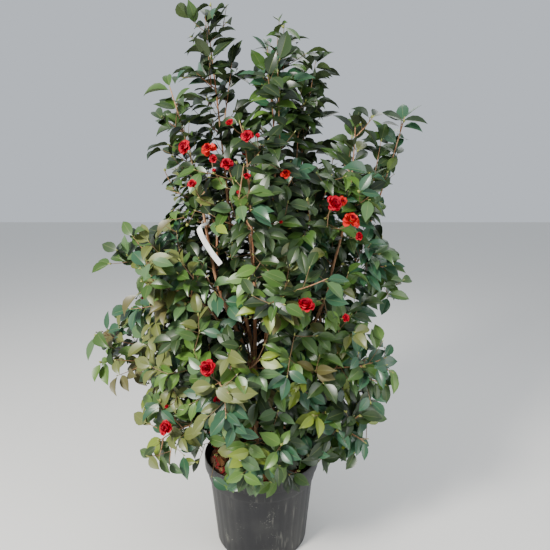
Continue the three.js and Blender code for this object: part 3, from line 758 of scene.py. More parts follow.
def clear_bough(tier, turn, number, stems, obstacles):
    """The bough from the nearest stem that lets it pass clear of every other limb."""
    way = polar(turn, 1, 0)
    choices = [grow_bough(stem, tier, turn, number) for stem in stems]
    for bough in sorted(choices, key=lambda choice: -choice.path.at(0).dot(way)):
        pieces = pieces_of(bough.path, bough.foot, bough.tip, BOUGH_STEPS, "")
        if all(other[3] == bough.parent.name
               or segment_gap(a, b, other[0], other[1]) > radius + other[2] + LIMB_CLEARANCE
               for a, b, radius, _ in pieces for other in obstacles):
            return bough
    raise RuntimeError(f"no clear way for bough {number} of tier {tier[0]}")


@functools.lru_cache(maxsize=None)
def limbs():
    """Stems and boughs."""
    stems = [grow_stem(*row) for row in STEMS]
    obstacles = []
    for stem in stems:
        obstacles += pieces_of(stem.path, stem.foot, stem.tip, STEM_STEPS, stem.name)
    boughs = []
    for tier in TIERS:
        for i in range(tier[1]):
            bough = clear_bough(tier, tier[2] + 360 * i / tier[1], i + 1, stems, obstacles)
            boughs.append(bough)
            obstacles += pieces_of(bough.path, bough.foot, bough.tip, BOUGH_STEPS, bough.name)
    return stems, boughs


def grow_mass(carrier, number):
    """The space and main stem of the leaves that a limb carries."""
    start, way = carrier.path.at(1), carrier.path.along(1)
    axis = carrier.end - start
    foot = start + way * GAP
    bend = foot + way * axis.length * MASS_BEND
    last = start.lerp(carrier.end, 1 - MASS_TIP_SHORT / axis.length)
    name = carrier.name.replace("bough", "leaves").replace("stem", "top")
    return SimpleNamespace(name=name, seed=MASS_SEED + MASS_SEED_STEP * number, path=arc(foot, bend, last),
                           girth=carrier.girth, middle=start.lerp(carrier.end, 0.5), end=carrier.end,
                           axis=axis.normalized(), leader=carrier.leader,
                           core=(start, carrier.end - axis.normalized() * CORE_SHORT * carrier.girth))


@functools.lru_cache(maxsize=None)
def masses():
    """The masses of the frame's foliage."""
    stems, boughs = limbs()
    return [grow_mass(carrier, number) for number, carrier in enumerate(stems + boughs)]


def core_gap(mass, point):
    """How far a point is from the mass's middle line."""
    start, end = mass.core
    way = end - start
    share = min(max((point - start).dot(way) / way.length_squared, 0), 1)
    return (point - start - way * share).length


def within(mass, point):
    """True in the mass's own space, which a leaf may pass a little at its end."""
    return core_gap(mass, point) < mass.girth and (point - mass.end).dot(mass.axis) < TIP_OVERRUN


def cell_gap(mass, other, point):
    """How far a point lies on the mass's own side of the border with another mass."""
    far = (other.middle - point).length_squared - other.girth**2
    near = (mass.middle - point).length_squared - mass.girth**2
    return (far - near) / (2 * (other.middle - mass.middle).length)


# Name strip: the top and the end of its face

STRIP_TOP = Vector((-0.231, -0.095, 1.400))
STRIP_END = Vector((-0.150, -0.120, 1.262))


# Openings between the leaves run towards the spot in front or, at lit places, towards the light. A stem is
# given by its name and two heights, the rim and the soil by points, and a room is a radius.

FRONT_SPOT = Vector((0.06, -1.98, 1.60))
OPENING_LENGTH = 0.45
LIGHT_WAY = Vector((-0.54, -0.63, 0.56))
STRIP_ROOM = 0.032
SHOWN_STEPS = 60
SHOWN_STEMS = (
    ("stem_front", 1.12, 1.40),
    ("top_front", 1.40, 1.66),
    ("stem_left", 1.38, 1.54),
    ("top_left", 1.54, 1.64),
    ("stem_far_left", 1.06, 1.26),
    ("stem_far_left", 0.82, 1.02),
    ("stem_left", 0.86, 1.02),
    ("stem_middle", 0.78, 0.98),
    ("stem_front", 0.78, 1.02),
    ("stem_right", 1.00, 1.29),
    ("top_right", 1.29, 1.42),
)
SHOWN_ROOM = 0.021
LIT_STEMS = (("stem_front", 1.18, 1.40), ("top_front", 1.40, 1.52), ("stem_far_left", 1.06, 1.20))
LIT_ROOM = 0.026
SHOWN_RIM = (
    (-0.235, -0.060, 0.405), (-0.215, -0.110, 0.405), (-0.180, -0.155, 0.405), (-0.180, -0.060, 0.370),
    (-0.225, -0.110, 0.360), (-0.200, -0.150, 0.355),
)
RIGHT_RIM = (
    (0.240, -0.060, 0.395), (0.220, -0.110, 0.395), (0.185, -0.155, 0.395), (0.225, -0.110, 0.370),
    (0.200, -0.145, 0.365),
)
LIT_SOIL = (
    (-0.190, -0.070, 0.385), (-0.160, -0.110, 0.385), (-0.200, -0.020, 0.385), (-0.120, -0.160, 0.375),
    (-0.150, -0.040, 0.385), (-0.205, 0.030, 0.385), (-0.170, 0.060, 0.385),
)
SOIL_GLIMPSES = ((-0.080, -0.150, 0.370), (0.030, -0.185, 0.370), (0.120, -0.130, 0.370))
RIM_ROOM = 0.036
GLIMPSE_ROOM = 0.020
LIGHT_ROOM = 0.044
FAR_LIGHT_ROOM = 0.068

# Where sky shows at the crown's edge: x and height in the middle's plane, and radius
SKY_GAPS = (
    (-0.333, 2.139, 0.057),
    (-0.059, 2.187, 0.053),
    (-0.471, 1.813, 0.062),
    (-0.395, 1.620, 0.057),
    (-0.433, 1.494, 0.082),
    (-0.582, 1.162, 0.090),
    (0.584, 1.038, 0.053),
    (-0.749, 0.981, 0.053),
    (0.348, 1.912, 0.057),
    (0.604, 1.689, 0.050),
    (0.584, 1.612, 0.060),
    (0.567, 1.522, 0.062),
    (0.575, 1.446, 0.036),
    (0.430, 1.650, 0.030),
    (-0.063, 1.912, 0.033),
    (-0.057, 2.020, 0.041),
    (0.572, 0.391, 0.066),
    (0.500, 0.482, 0.056),
    (0.637, 1.128, 0.038),
)
GAP_DEPTH = 0.40


# Twigs and leaves

TWIGS_ON_LEADER = 4
TWIGS_ON_BOUGH = 6
TWIG_TRIES = 6
TWIG_SWING = 120
MASS_FOOT_RADIUS = 0.0050
TWIG_RADIUS = 0.0028
TWIGLET_RADIUS = 0.0017
TIP_RADIUS = 0.0010
FORK_GAP = 0.006
LEAF_ROOM = 0.054
INTERLACE = 0.030
TWIGLET_STEP = 0.034
LEAF_TRIES = 5
# Below CROWN_TOP, sprays inside SHADED_SPREAD get the dark tints, and above DARK_TOP the dark tints are
# favoured: both painted shade.
CROWN_TOP = 1.70
DARK_TOP = 1.62
SHADED_SPREAD = 0.52
HANG_TOP = 1.25
HANG_DEPTH = 0.70
TIP_CROWDING = 0.75
LEAF_MIDDLE = 0.55
LEAF_DROOP = 0.004
VIEW_LENGTH = 0.13
VIEW_MARGIN = 0.007
RIM_CLEARANCE = 0.008
LIMB_ROOM = 0.012
LIMB_MARKS = 40
BOX_MARGIN = 0.008
TOP_MARGIN = 0.032
TIP_OVERRUN = 0.014
HEM_HEIGHT = 0.345
HEM_RADIUS = 0.270
HEM_SLOPE = 0.75

# On a leader the leaves stand farther apart and are larger. Low at the far left only a share of them grows.
LEADER_STEP = 1.62
LEADER_SIZE = 1.17
THIN_SIDE = -0.50
THIN_TOP = 1.10
THIN_SHARE = 0.62

# Leaves that aren't far back turn to the sun, those on both flanks more so, and the left flank's are larger
SUNWARD = Vector((-0.14, -0.50, 0.05))
SUNNY_DEPTH = 0.25
FLANK = 0.42
FLANK_TURN = 2.0
FLANK_SIZE = 1.10

INNER_SEED = 7

# Shoots between the masses: how many places are tried, how far one may be from the nearest twig, where they
# lie as shares of the crown's reach, and their heights
FILL_TRIES = 16000
FILL_GAPS = (0.060, 0.190)
BACK_FILL = 0.82
FILL_SPREAD = (0.20, 0.78)
FILL_HEIGHTS = (0.430, 1.620)
FILL_SEED = 5

# Foot and tip of each shoot that gives the crown its outline
OUTER_SHOOTS = (
    ((-0.350, -0.080, 1.180), (-0.545, -0.130, 1.320)),
    ((-0.380, -0.100, 1.250), (-0.470, -0.170, 1.380)),
    ((-0.360, -0.120, 1.150), (-0.510, -0.120, 1.240)),
    ((-0.340, -0.140, 1.220), (-0.400, -0.220, 1.370)),
    ((-0.350, -0.120, 1.050), (-0.490, -0.180, 1.100)),
    ((-0.440, -0.050, 0.850), (-0.600, -0.130, 0.880)),
    ((-0.440, -0.080, 0.800), (-0.560, -0.180, 0.830)),
    ((-0.330, -0.200, 0.600), (-0.440, -0.220, 0.650)),
    ((-0.150, -0.010, 1.780), (-0.100, -0.020, 2.030)),
    ((-0.185, 0.010, 1.900), (-0.200, 0.000, 2.190)),
    ((0.040, 0.010, 1.780), (0.105, 0.020, 2.080)),
    ((0.140, 0.080, 1.780), (0.220, 0.070, 2.040)),
    ((0.060, -0.030, 1.700), (0.070, -0.070, 1.980)),
    ((0.120, 0.050, 1.650), (0.160, 0.000, 1.930)),
    ((0.420, 0.040, 1.500), (0.480, 0.020, 1.740)),
)
OUTER_SEED = 23
LONG_SHOOT = 0.20

# Name, upper side, roughness. The sheen tint is a painted sheen and the blue one partly a painted sky
# reflection; deep and shade also serve as painted shade.
TINTS = (
    ("deep", (30, 46, 22), 0.34),
    ("shade", (42, 62, 28), 0.36),
    ("mid", (58, 86, 34), 0.34),
    ("fresh", (78, 110, 42), 0.36),
    ("blue", (46, 82, 56), 0.30),
    ("sheen", (74, 102, 62), 0.30),
    ("olive", (94, 102, 50), 0.40),
    ("bronze", (84, 80, 42), 0.42),
    ("lime", (112, 130, 36), 0.40),
)


def clear_of_pot(point):
    """True above the rim, outside the pot, or over the soil and inside the wall."""
    radius = math.hypot(point.x, point.y)
    above = point.z > POT_HIGH.z + RIM_CLEARANCE
    outside = radius > POT_HIGH.x + RIM_CLEARANCE
    inside = point.z > SOIL_HIGH.z + RIM_CLEARANCE and radius < SOIL_HIGH.x - RIM_CLEARANCE
    return above or outside or inside


def spread(point):
    """How far out a point is, as a share of the crown's reach at its height and on its side."""
    ends = [height + rise + lift for _, _, _, height, rise, lift, _, _ in TIERS]
    reaches = zip(*(tier[7] for tier in TIERS))
    right, back, left, front = (np.interp(point.z, ends, reach) for reach in reaches)
    return math.hypot(point.x / (right if point.x > 0 else left), point.y / (back if point.y > 0 else front))


def above_hem(point):
    """True above the crown's lower edge, which rises from the pot's rim outwards."""
    return point.z > HEM_HEIGHT + HEM_SLOPE * max(0, math.hypot(point.x, point.y) - HEM_RADIUS)


def in_reach(point):
    """True within the frame's own reach, which the topmost leaves may pass a little."""
    low, high = FRAME_BOX
    return (all(low[i] - BOX_MARGIN < point[i] < high[i] + BOX_MARGIN for i in range(2))
            and point.z < high[2] + TOP_MARGIN and above_hem(point))


def side_way(way, round_angle):
    """A direction square to the way, turned about it."""
    level = UP.cross(way)
    side = (level if level.length > 0.1 else Vector((1, 0, 0)).cross(way)).normalized()
    side.rotate(Quaternion(way, round_angle))
    return side


def shoot_from(path, share, round_angle, opening, length, rise):
    """A line that leaves the path at a share of it, opened from it by an angle, and sags a little."""
    start, way = path.at(share), path.along(share)
    out = way * math.cos(opening) + side_way(way, round_angle) * math.sin(opening)
    end = start + out * length + UP * length * rise
    return arc(start, start.lerp(end, 0.5) - UP * length * 0.06, end, 6)


def first_twig(mass, k, count, draw):
    """The k-th of a mass's twigs, as the frame has it."""
    share = mixed(0.08, 0.88, k / (count - 1))
    round_angle = math.radians(k * GOLDEN_ANGLE + draw() * TWIG_SWING)
    opening = math.radians(mixed(74, 42, share) + (draw() - 0.5) * 20)
    room = mass.girth * math.sqrt(1 - (2 * share - 1) ** 2 * 0.7) - LEAF_ROOM
    length = max(SHORTEST_TWIG, room) * (0.75 + draw() * 0.35)
    return shoot_from(mass.path, share, round_angle, opening, length, 0.12)


def tint_of(point, draw):
    """A spray's green: deep and shade inside the crown and on top, which is painted shade; olive on the left,
    where more sheen and less shade is painted light; bluish on the right, partly painted sky reflection;
    fresh low down.
    """
    # Sprays inside the crown take the dark tints: painted shade of the crown's interior.
    if point.z < CROWN_TOP and spread(point) < SHADED_SPREAD:
        return "deep" if draw() < 0.75 else "shade"
    # Above DARK_TOP the pale tints are cut and the dark ones favoured: painted shade of leaves seen against
    # the light.
    pale = 0.15 if point.z > DARK_TOP else 1.0
    # On the left sheen is favoured and deep and shade are cut: painted light on the lit side. The heavy blue
    # weight on the right is partly painted sky reflection.
    weights = {
        "deep": 3.6 if point.z > DARK_TOP else 3.0 if point.z > 1.35 else 0.1 if point.x < -0.45 else 0.8,
        "shade": 3.0 if point.x > -0.20 or point.z > 1.40 else 1.2,
        "mid": 2.4,
        "fresh": (2.2 if point.z < 1.15 else 0.9) * pale,
        "blue": 0.7 if point.z > DARK_TOP else 4.5 if point.x > 0.33 else 2.4 if point.x > 0.1 else 1.4,
        "sheen": (2.4 if point.x < -0.10 and point.z < 1.40 else 1.3) * pale,
        "olive": (3.0 if point.x < -0.05 and 0.55 < point.z < 1.5 else 0.8) * pale,
        "bronze": (1.2 if point.x < -0.2 and 0.6 < point.z < 1.45 else 0.15) * pale,
        "lime": (1.6 if point.z < 0.90 and point.x > 0.12 else 0.6 if point.z < 0.75 else 0.2) * pale,
    }
    pick = draw() * sum(weights.values())
    for name, weight in weights.items():
        pick -= weight
        if pick <= 0:
            return name
    return list(weights)[-1]


def tree_of(points):
    """The points, numbered, in a tree that finds the ones near a place."""
    tree = KDTree(len(points))
    for number, point in enumerate(points):
        tree.insert(point, number)
    tree.balance()
    return tree


def in_opening(point, opening, share=1):
    """True in the opening, or in the share of its room round its middle line."""
    start, end, room = opening
    return segment_gap(point, point + UP * 1e-4, start, end) < room * share


class Thicket:
    """Knows how near a point is to the leaves, flowers and limbs that are already there."""

    def __init__(self, spacing):
        self.spacing = spacing
        self.middles = {}
        self.openings = []
        stems, boughs = limbs()
        shares = [i / LIMB_MARKS for i in range(LIMB_MARKS + 1)]
        self.limbs = tree_of([limb.path.at(share) for limb in stems + boughs for share in shares])

    def cell(self, point):
        return tuple(math.floor(value / self.spacing) for value in point)

    def crowded(self, point):
        x, y, z = self.cell(point)
        sides = (-1, 0, 1)
        near = (self.middles.get((x + i, y + j, z + k), ()) for i in sides for j in sides for k in sides)
        return any((other - point).length < self.spacing for group in near for other in group)

    def hides(self, point):
        """True in one of the openings."""
        return any(in_opening(point, opening) for opening in self.openings)

    def free(self, root, middle, tip):
        """True where a leaf on these points is in nothing's way."""
        points = (root, root.lerp(middle, 0.5), middle, middle.lerp(tip, 0.5), tip)
        if not in_reach(tip) or self.crowded(middle) or not all(clear_of_pot(point) for point in points):
            return False
        return all(self.limbs.find(point)[2] > LIMB_ROOM and not self.hides(point) for point in (middle, tip))

    def add(self, point):
        self.middles.setdefault(self.cell(point), []).append(point)


def holds(mass, point):
    """True in the mass's own share of the crown."""
    return core_gap(mass, point) < mass.girth and all(
        other is mass or cell_gap(mass, other, point) > -INTERLACE for other in masses())


def spray(path, foot, tip, size, bare, mass, draw):
    """A twig that carries leaves from the share that is bare of them to its tip."""
    return SimpleNamespace(path=path, foot=foot, tip=tip, size=size, bare=bare, mass=mass,
                           tint=tint_of(path.at(0.6), draw), seed=int(draw() * 1e9))


def shoot(path, size, bare, mass, draw):
    """A spray of the finest kind."""
    return spray(path, TWIGLET_RADIUS, TIP_RADIUS, size, bare, mass, draw)


def finer_twigs(parent, first, last, mass, draw):
    """Short shoots along a twig, from one share of it to another, shorter towards its end."""
    count = max(1, round(parent.length * (last - first) / TWIGLET_STEP))
    found = []
    for k in range(count):
        share = mixed(first, last, (k + 0.5) / count)
        for _ in range(TWIG_TRIES):
            round_angle = math.radians(k * GOLDEN_ANGLE + draw() * TWIG_SWING)
            opening = math.radians(38 + draw() * 30)
            length = mixed(0.115, 0.060, share) * (0.75 + draw() * 0.5)
            path = shoot_from(parent, share, round_angle, opening, length, 0.15)
            end = path.at(1)
            if clear_of_pot(end) and in_reach(end) and (mass is None or holds(mass, end)):
                found.append(path)
                break
    return found


def grow_mass_twigs(mass):
    """The mass's stem, its twigs and their finer shoots."""
    draw = seeded(mass.seed)
    count = TWIGS_ON_LEADER if mass.leader else TWIGS_ON_BOUGH
    twigs = []
    for k in range(count):
        tries = [first_twig(mass, k, count, draw) for _ in range(TWIG_TRIES)]
        fits = [path for path in tries
                if holds(mass, path.at(1)) and clear_of_pot(path.at(1)) and in_reach(path.at(1))]
        twigs += fits[:1]
    size = LEADER_SIZE if mass.leader else 1.0
    bare, last = (0.30, 0.62) if mass.leader else (0.55, 0.92)
    found = [spray(mass.path, MASS_FOOT_RADIUS, TWIG_RADIUS * 0.7, size, bare, mass, draw)]
    for path in finer_twigs(mass.path, 0.1, last, mass, draw):
        found.append(shoot(path, size, 0.22, mass, draw))
    for twig in twigs:
        found.append(spray(twig, TWIG_RADIUS, TWIGLET_RADIUS * 0.8, size, 0.4, mass, draw))
        for path in finer_twigs(twig, 0.2, 0.95, mass, draw):
            found.append(shoot(path, size, 0.22, mass, draw))
    return found


def grow_inner_shoots():
    """Short leafy shoots on the bare lengths of stems and boughs."""
    stems, boughs = limbs()
    draw = seeded(INNER_SEED)
    found = []
    for group, first, last, size, bare in ((stems, 0.32, 0.97, 0.9, 0.3), (boughs, 0.3, 0.95, 0.95, 0.25)):
        for limb in group:
            for path in finer_twigs(limb.path, first, last, None, draw)[::2]:
                found.append(shoot(path, size, bare, None, draw))
    return found


def grow_outer_shoots(grown):
    """The shoots that give the crown its outline, each from the twig that is nearest to its foot."""
    draw = seeded(OUTER_SEED)
    points = [twig.path.at(share) for twig in grown for share in (0.25, 0.5, 0.75)]
    points += [limb.path.at(share) for group in limbs() for limb in group for share in (0.5, 0.75, 1)]
    found = []
    for foot, tip in OUTER_SHOOTS:
        start = min(points, key=lambda point: (point - Vector(foot)).length)
        end = Vector(tip)
        length = (end - start).length
        path = arc(start, start.lerp(end, 0.5) - UP * length * 0.05, end, 8)
        found.append(spray(path, TWIG_RADIUS, TIP_RADIUS, 1.0, 0.3, None, draw))
        if length > LONG_SHOOT:
            for finer in finer_twigs(path, 0.2, 0.8, None, draw)[::2]:
                found.append(shoot(finer, 1.0, 0.25, None, draw))
    return found


def grow_filling_shoots(grown):
    """Shoots from the nearest twig into each part of the crown that no twig has reached."""
    draw = seeded(FILL_SEED)
    stems, boughs = limbs()
    paths = [each.path for each in grown + stems + boughs]
    marks = [path.at(share) for path in paths for share in (0.25, 0.5, 0.75, 1)]
    spots = np.zeros((len(marks) + FILL_TRIES * 2, 3))
    spots[:len(marks)] = marks
    count = len(marks)
    found = []
    low, high = FRAME_BOX
    for _ in range(FILL_TRIES):
        x, y = (mixed(low[axis], high[axis], draw()) for axis in (0, 1))
        target = Vector((x, y, mixed(*FILL_HEIGHTS, draw())))
        if not FILL_SPREAD[0] < spread(target) < FILL_SPREAD[1] or not above_hem(target - UP * 0.04):
            continue
        gaps = np.linalg.norm(spots[:count] - target, axis=1)
        nearest = int(gaps.argmin())
        start = Vector(spots[nearest])
        outward = Vector((x, y, 0)).normalized()
        least = FILL_GAPS[0] * (BACK_FILL if y > 0 else 1)
        if least < gaps[nearest] < FILL_GAPS[1] and (target - start).dot(outward) > -0.02:
            path = arc(start, start.lerp(target, 0.5) - UP * gaps[nearest] * 0.08, target, 6)
            found.append(shoot(path, 0.96, 0.25, None, draw))
            spots[count:count + 2] = path.at(0.5), target
            count += 2
    return found


def clear_of_strip(grown):
    """The twigs that neither cross the view of the name strip nor spring from one that does."""
    kept, crossing = [], []
    for twig in grown:
        points = [twig.path.at(share) for share in shares_along(twig.path, FORK_GAP)]
        if any((points[0] - point).length < FORK_GAP for point in crossing) or any(
                in_opening(point, view, 0.7) for point in points for view in strip_views()):
            crossing += points
        else:
            kept.append(twig)
    return kept


@functools.lru_cache(maxsize=None)
def sprays():
    """Every twig that may carry leaves."""
    grown = [each for mass in masses() for each in grow_mass_twigs(mass)]
    grown += grow_inner_shoots()
    grown += grow_outer_shoots(grown)
    return clear_of_strip(grown + grow_filling_shoots(grown))


def leaf_on(twig, k, count, draw):
    """The k-th of a twig's leaves, with its root and axes, its size and the share of full width."""
    last = k == count - 1
    share = 0.97 if last else mixed(twig.bare, 0.95, (k / max(1, count - 2)) ** TIP_CROWDING)
    way = twig.path.along(share)
    level = way.cross(UP)
    upright = level.length < 0.55
    if upright:
        side = side_way(way, math.radians(k * GOLDEN_ANGLE + (draw() - 0.5) * 100))
    else:
        side = level.normalized()
        side.rotate(Quaternion(way, math.radians((k % 2) * 180 + (draw() - 0.5) * 80)))
    opening = (draw() - 0.5) * 0.6 if last else 0.7 + draw() * 0.45
    root = twig.path.at(share)
    outward = Vector((root.x, root.y, 0)).normalized()
    hang = min(max((HANG_TOP - root.z) / HANG_DEPTH, 0), 1)
    out = way * math.cos(opening) + side * math.sin(opening) + UP * ((draw() - 0.6) * 0.5 - hang * 0.35)
    lift = mixed(0.60 if upright else 0.85, 0.5, hang)
    lean = mixed(0.25 if upright else 0.45, 0.75, hang)
    face = UP * lift + outward * lean
    stray = 1.4 if upright else 1.0
    face += Vector(((draw() - 0.5) * stray, (draw() - 0.5) * stray, 0))
    sunny = min(max((SUNNY_DEPTH - root.y) / SUNNY_DEPTH, 0), 1)
    face += SUNWARD * sunny * (FLANK_TURN if abs(root.x) > FLANK else 1)
    face.normalize()
    out = (out - face * 0.85 * out.dot(face)).normalized()
    across = face.cross(out).normalized()
    size = twig.size * (0.80 + draw() * 0.34) * (FLANK_SIZE if root.x < -FLANK else 1)
    return SimpleNamespace(root=root, way=out, across=across, face=out.cross(across), size=size,
                           plump=0.86 + draw() * 0.28, cut=draw(), share=share)


def frontward(point, room):
    """The opening from a point towards the spot in front."""
    return point, point + (FRONT_SPOT - point).normalized() * OPENING_LENGTH, room


def lightward(point, room, first=0, last=1):
    """The opening from a point towards the light, from one share of its length to another."""
    way = LIGHT_WAY * OPENING_LENGTH
    return point + way * first, point + way * last, room


def strip_points():
    """Points down the name strip, and the one that it hangs from."""
    return arc(STRIP_END, STRIP_END.lerp(STRIP_TOP, 0.5), STRIP_TOP, 4).points + [strip_hook()]


@functools.lru_cache(maxsize=None)
def strip_views():
    """What is left open in front of the name strip."""
    return [frontward(point, STRIP_ROOM) for point in strip_points()]


def points_between(path, low, high):
    """The path's points between two heights."""
    points = [path.at(i / SHOWN_STEPS) for i in range(SHOWN_STEPS + 1)]
    return [point for point in points if low < point.z < high]


def openings():
    """What the leaves leave open for flowers, the name strip, stems, the rim, the soil and the sky."""
    found = []
    for bloom in blooms():
        room = bloom.radius + VIEW_MARGIN
        found.append((bloom.middle, bloom.middle + bloom.way * VIEW_LENGTH, room))
        if bloom.lift:
            found.append(frontward(bloom.middle, room))
    found += strip_views()
    for point in strip_points():
        found += [lightward(point, LIGHT_ROOM), lightward(point, FAR_LIGHT_ROOM, 0.4, 1.2)]
    shown = {each.name: each.path for each in limbs()[0] + masses()}
    for name, low, high in SHOWN_STEMS:
        found += [frontward(point, SHOWN_ROOM) for point in points_between(shown[name], low, high)]
    for name, low, high in LIT_STEMS:
        found += [lightward(point, LIT_ROOM) for point in points_between(shown[name], low, high)]
    for x, z, room in SKY_GAPS:
        point = Vector((x, 0, z))
        way = (FRONT_SPOT - point).normalized() * GAP_DEPTH
        found.append((point - way, point + way, room))
    found += [lightward(Vector(spot), RIM_ROOM) for spot in LIT_SOIL]
    found += [frontward(Vector(spot), GLIMPSE_ROOM) for spot in SOIL_GLIMPSES + RIGHT_RIM]
    return found + [frontward(Vector(spot), RIM_ROOM) for spot in SHOWN_RIM]


@functools.lru_cache(maxsize=None)
def leaves():
    """Every leaf, with the tint of its spray."""
    look = bpy.context.scene.shrub_foliage
    thicket = Thicket(look.spacing)
    thicket.openings = openings()
    found = []
    for number, twig in enumerate(sprays()):
        draw = seeded(twig.seed)
        step = look.leaf_step * (LEADER_STEP if twig.mass and twig.mass.leader else 1)
        count = max(3, round(twig.path.length * (1 - twig.bare) / step) + 1)
        for k in range(count):
            for _ in range(LEAF_TRIES):
                leaf = leaf_on(twig, k, count, draw)
                length = look.leaf_length * leaf.size
                middle = leaf.root + leaf.way * length * LEAF_MIDDLE
                tip = leaf.root + leaf.way * length - UP * LEAF_DROOP
                if middle.x < THIN_SIDE and middle.z < THIN_TOP and draw() > THIN_SHARE:
                    break
                inside = twig.mass is None or within(twig.mass, tip)
                if inside and thicket.free(leaf.root, middle, tip):
                    thicket.add(middle)
                    leaf.tint, leaf.twig = twig.tint, number
                    found.append(leaf)
                    break
    return found


@functools.lru_cache(maxsize=None)
def kept_sprays():
    """The twigs that carry something, each with the share at which its last leaf, twig or flower sits."""
    ends = {}
    for leaf in leaves():
        ends[leaf.twig] = max(leaf.share, ends.get(leaf.twig, 0))
    twigs = sprays()
    tree = tree_of([twig.path.at(0) for twig in twigs] + [bloom.stalk.at(0) for bloom in blooms()])
    for number in reversed(range(len(twigs))):
        for share in shares_along(twigs[number].path, FORK_GAP)[1:]:
            near = tree.find_range(twigs[number].path.at(share), FORK_GAP)
            if any(other != number and (other in ends or other >= len(twigs)) for _, other, _ in near):
                ends[number] = max(share, ends.get(number, 0))
    return [(twig, ends[number]) for number, twig in enumerate(twigs) if number in ends]


# Flowers

BLOOM_SEED = 12

# Middle, radius, kind, and how far it looks up
BLOOMS = (
    (-0.262, -0.200, 1.698, 0.024, "open", 0.0),
    (-0.174, -0.220, 1.692, 0.022, "faded", 0.0),
    (-0.150, -0.240, 1.656, 0.020, "half", 0.0),
    (-0.108, -0.240, 1.640, 0.021, "open", 0.0),
    (-0.155, -0.200, 1.612, 0.011, "bud", 0.0),
    (-0.098, -0.180, 1.780, 0.017, "half", 0.0),
    (-0.036, -0.230, 1.733, 0.021, "open", 0.0),
    (0.000, -0.225, 1.730, 0.011, "bud", 0.0),
    (-0.034, -0.300, 1.594, 0.014, "half", 0.0),
    (-0.223, -0.280, 1.570, 0.017, "half", 0.0),
    (0.097, -0.280, 1.607, 0.014, "faded", 0.0),
    (0.264, -0.300, 1.507, 0.026, "open", 0.0),
    (0.293, -0.280, 1.513, 0.014, "faded", 0.0),
    (0.326, -0.290, 1.450, 0.026, "faded", 0.6),
    (0.353, -0.260, 1.388, 0.018, "half", 0.0),
    (0.161, -0.425, 1.187, 0.027, "open", 1.4),
    (0.305, -0.330, 1.110, 0.017, "half", 0.0),
    (-0.170, -0.420, 0.960, 0.027, "open", 0.0),
    (-0.135, -0.430, 0.850, 0.015, "half", 0.0),
    (-0.344, -0.330, 0.690, 0.025, "open", 0.0),
    (-0.328, -0.340, 0.782, 0.010, "bud", 0.0),
    (-0.160, -0.430, 0.730, 0.010, "bud", 0.0),
    (0.081, -0.300, 1.442, 0.011, "bud", 0.0),
    (-0.065, -0.290, 1.540, 0.010, "bud", 0.0),
    (0.230, 0.250, 1.620, 0.024, "open", 0.0),
    (-0.290, 0.250, 1.290, 0.026, "open", 0.0),
    (0.060, 0.420, 1.180, 0.023, "half", 0.0),
    (-0.090, 0.420, 0.830, 0.026, "open", 0.0),
    (0.470, 0.110, 1.200, 0.021, "half", 0.0),
    (-0.500, 0.080, 1.080, 0.023, "open", 0.0),
    (0.330, 0.310, 0.760, 0.025, "open", 0.0),
    (-0.060, 0.260, 1.700, 0.021, "faded", 0.0),
)

# Petals from the heart outwards: number, lean from the axis in degrees, size as a share, and how they stray
KINDS = {
    "open": (48, (4, 80), (0.50, 1.00), 0.14),
    "half": (30, (3, 48), (0.60, 1.05), 0.12),
    "bud": (9, (2, 10), (1.10, 1.50), 0.04),
    "faded": (34, (8, 104), (0.55, 1.08), 0.34),
}


@functools.lru_cache(maxsize=None)
def blooms():
    """Each flower, faced outwards, with a stalk from the nearest twig."""
    tree = tree_of([twig.path.at(share) for twig in sprays() for share in (0.25, 0.5, 0.75, 1.0)])
    found = []
    draw = seeded(BLOOM_SEED)
    for x, y, z, radius, kind, lift in BLOOMS:
        middle = Vector((x, y, z))
        out = Vector((x + (draw() - 0.5) * 0.4, y + math.copysign(0.3, y), 0.08 + draw() * 0.45))
        way = (out + UP * lift).normalized()
        base = middle - way * radius * 0.5
        start = tree.find(base - way * 0.05)[0]
        bend = base - way * (base - start).length * 0.5
        found.append(SimpleNamespace(middle=middle, way=way, radius=radius, kind=kind, base=base, lift=lift,
                                     stalk=arc(start, bend, base, 8)))
    return found


def placed(origin, x_axis, y_axis, z_axis, scale):
    """A place for a copy: its axes, each with its own scale, and its origin."""
    columns = [axis * size for axis, size in zip((x_axis, y_axis, z_axis), scale)]
    return [[columns[0][i], columns[1][i], columns[2][i], origin[i]] for i in range(3)]


def petals_of(bloom, draw):
    """A place for each petal, from the heart outwards."""
    count, leans, sizes, stray = KINDS[bloom.kind]
    side = side_way(bloom.way, draw() * 6.28)
    other = bloom.way.cross(side)
    for k in range(count):
        share = (k / (count - 1)) ** 0.8
        turn = math.radians(k * GOLDEN_ANGLE) + (draw() - 0.5) * stray * 4
        lean = math.radians(mixed(*leans, share)) + (draw() - 0.5) * stray * 2
        radial = side * math.cos(turn) + other * math.sin(turn)
        way = bloom.way * math.cos(lean) + radial * math.sin(lean)
        inner = bloom.way * math.sin(lean) - radial * math.cos(lean)
        across = inner.cross(way)
        length = bloom.radius * 1.06 * mixed(*sizes, share) * (1 + (draw() - 0.5) * stray)
        root = bloom.base + radial * bloom.radius * 0.10 + bloom.way * bloom.radius * mixed(0.34, 0.05, share)
        yield share, placed(root, way, across, inner, (length, length * 0.46, length))


# Pieces

LIP_EDGE = 0.0025
POT_SIDES_PER_FLUTE = 8
SEAM_TURN = -1.62
SEAM_SWELL = 1.004

# How deep each side of a flute lies, as a share of the groove's depth, counted from the groove's middle
GROOVE_DEPTHS = {0: 1.0, 1: 0.8, 7: 0.8, 2: 0.25, 6: 0.25}


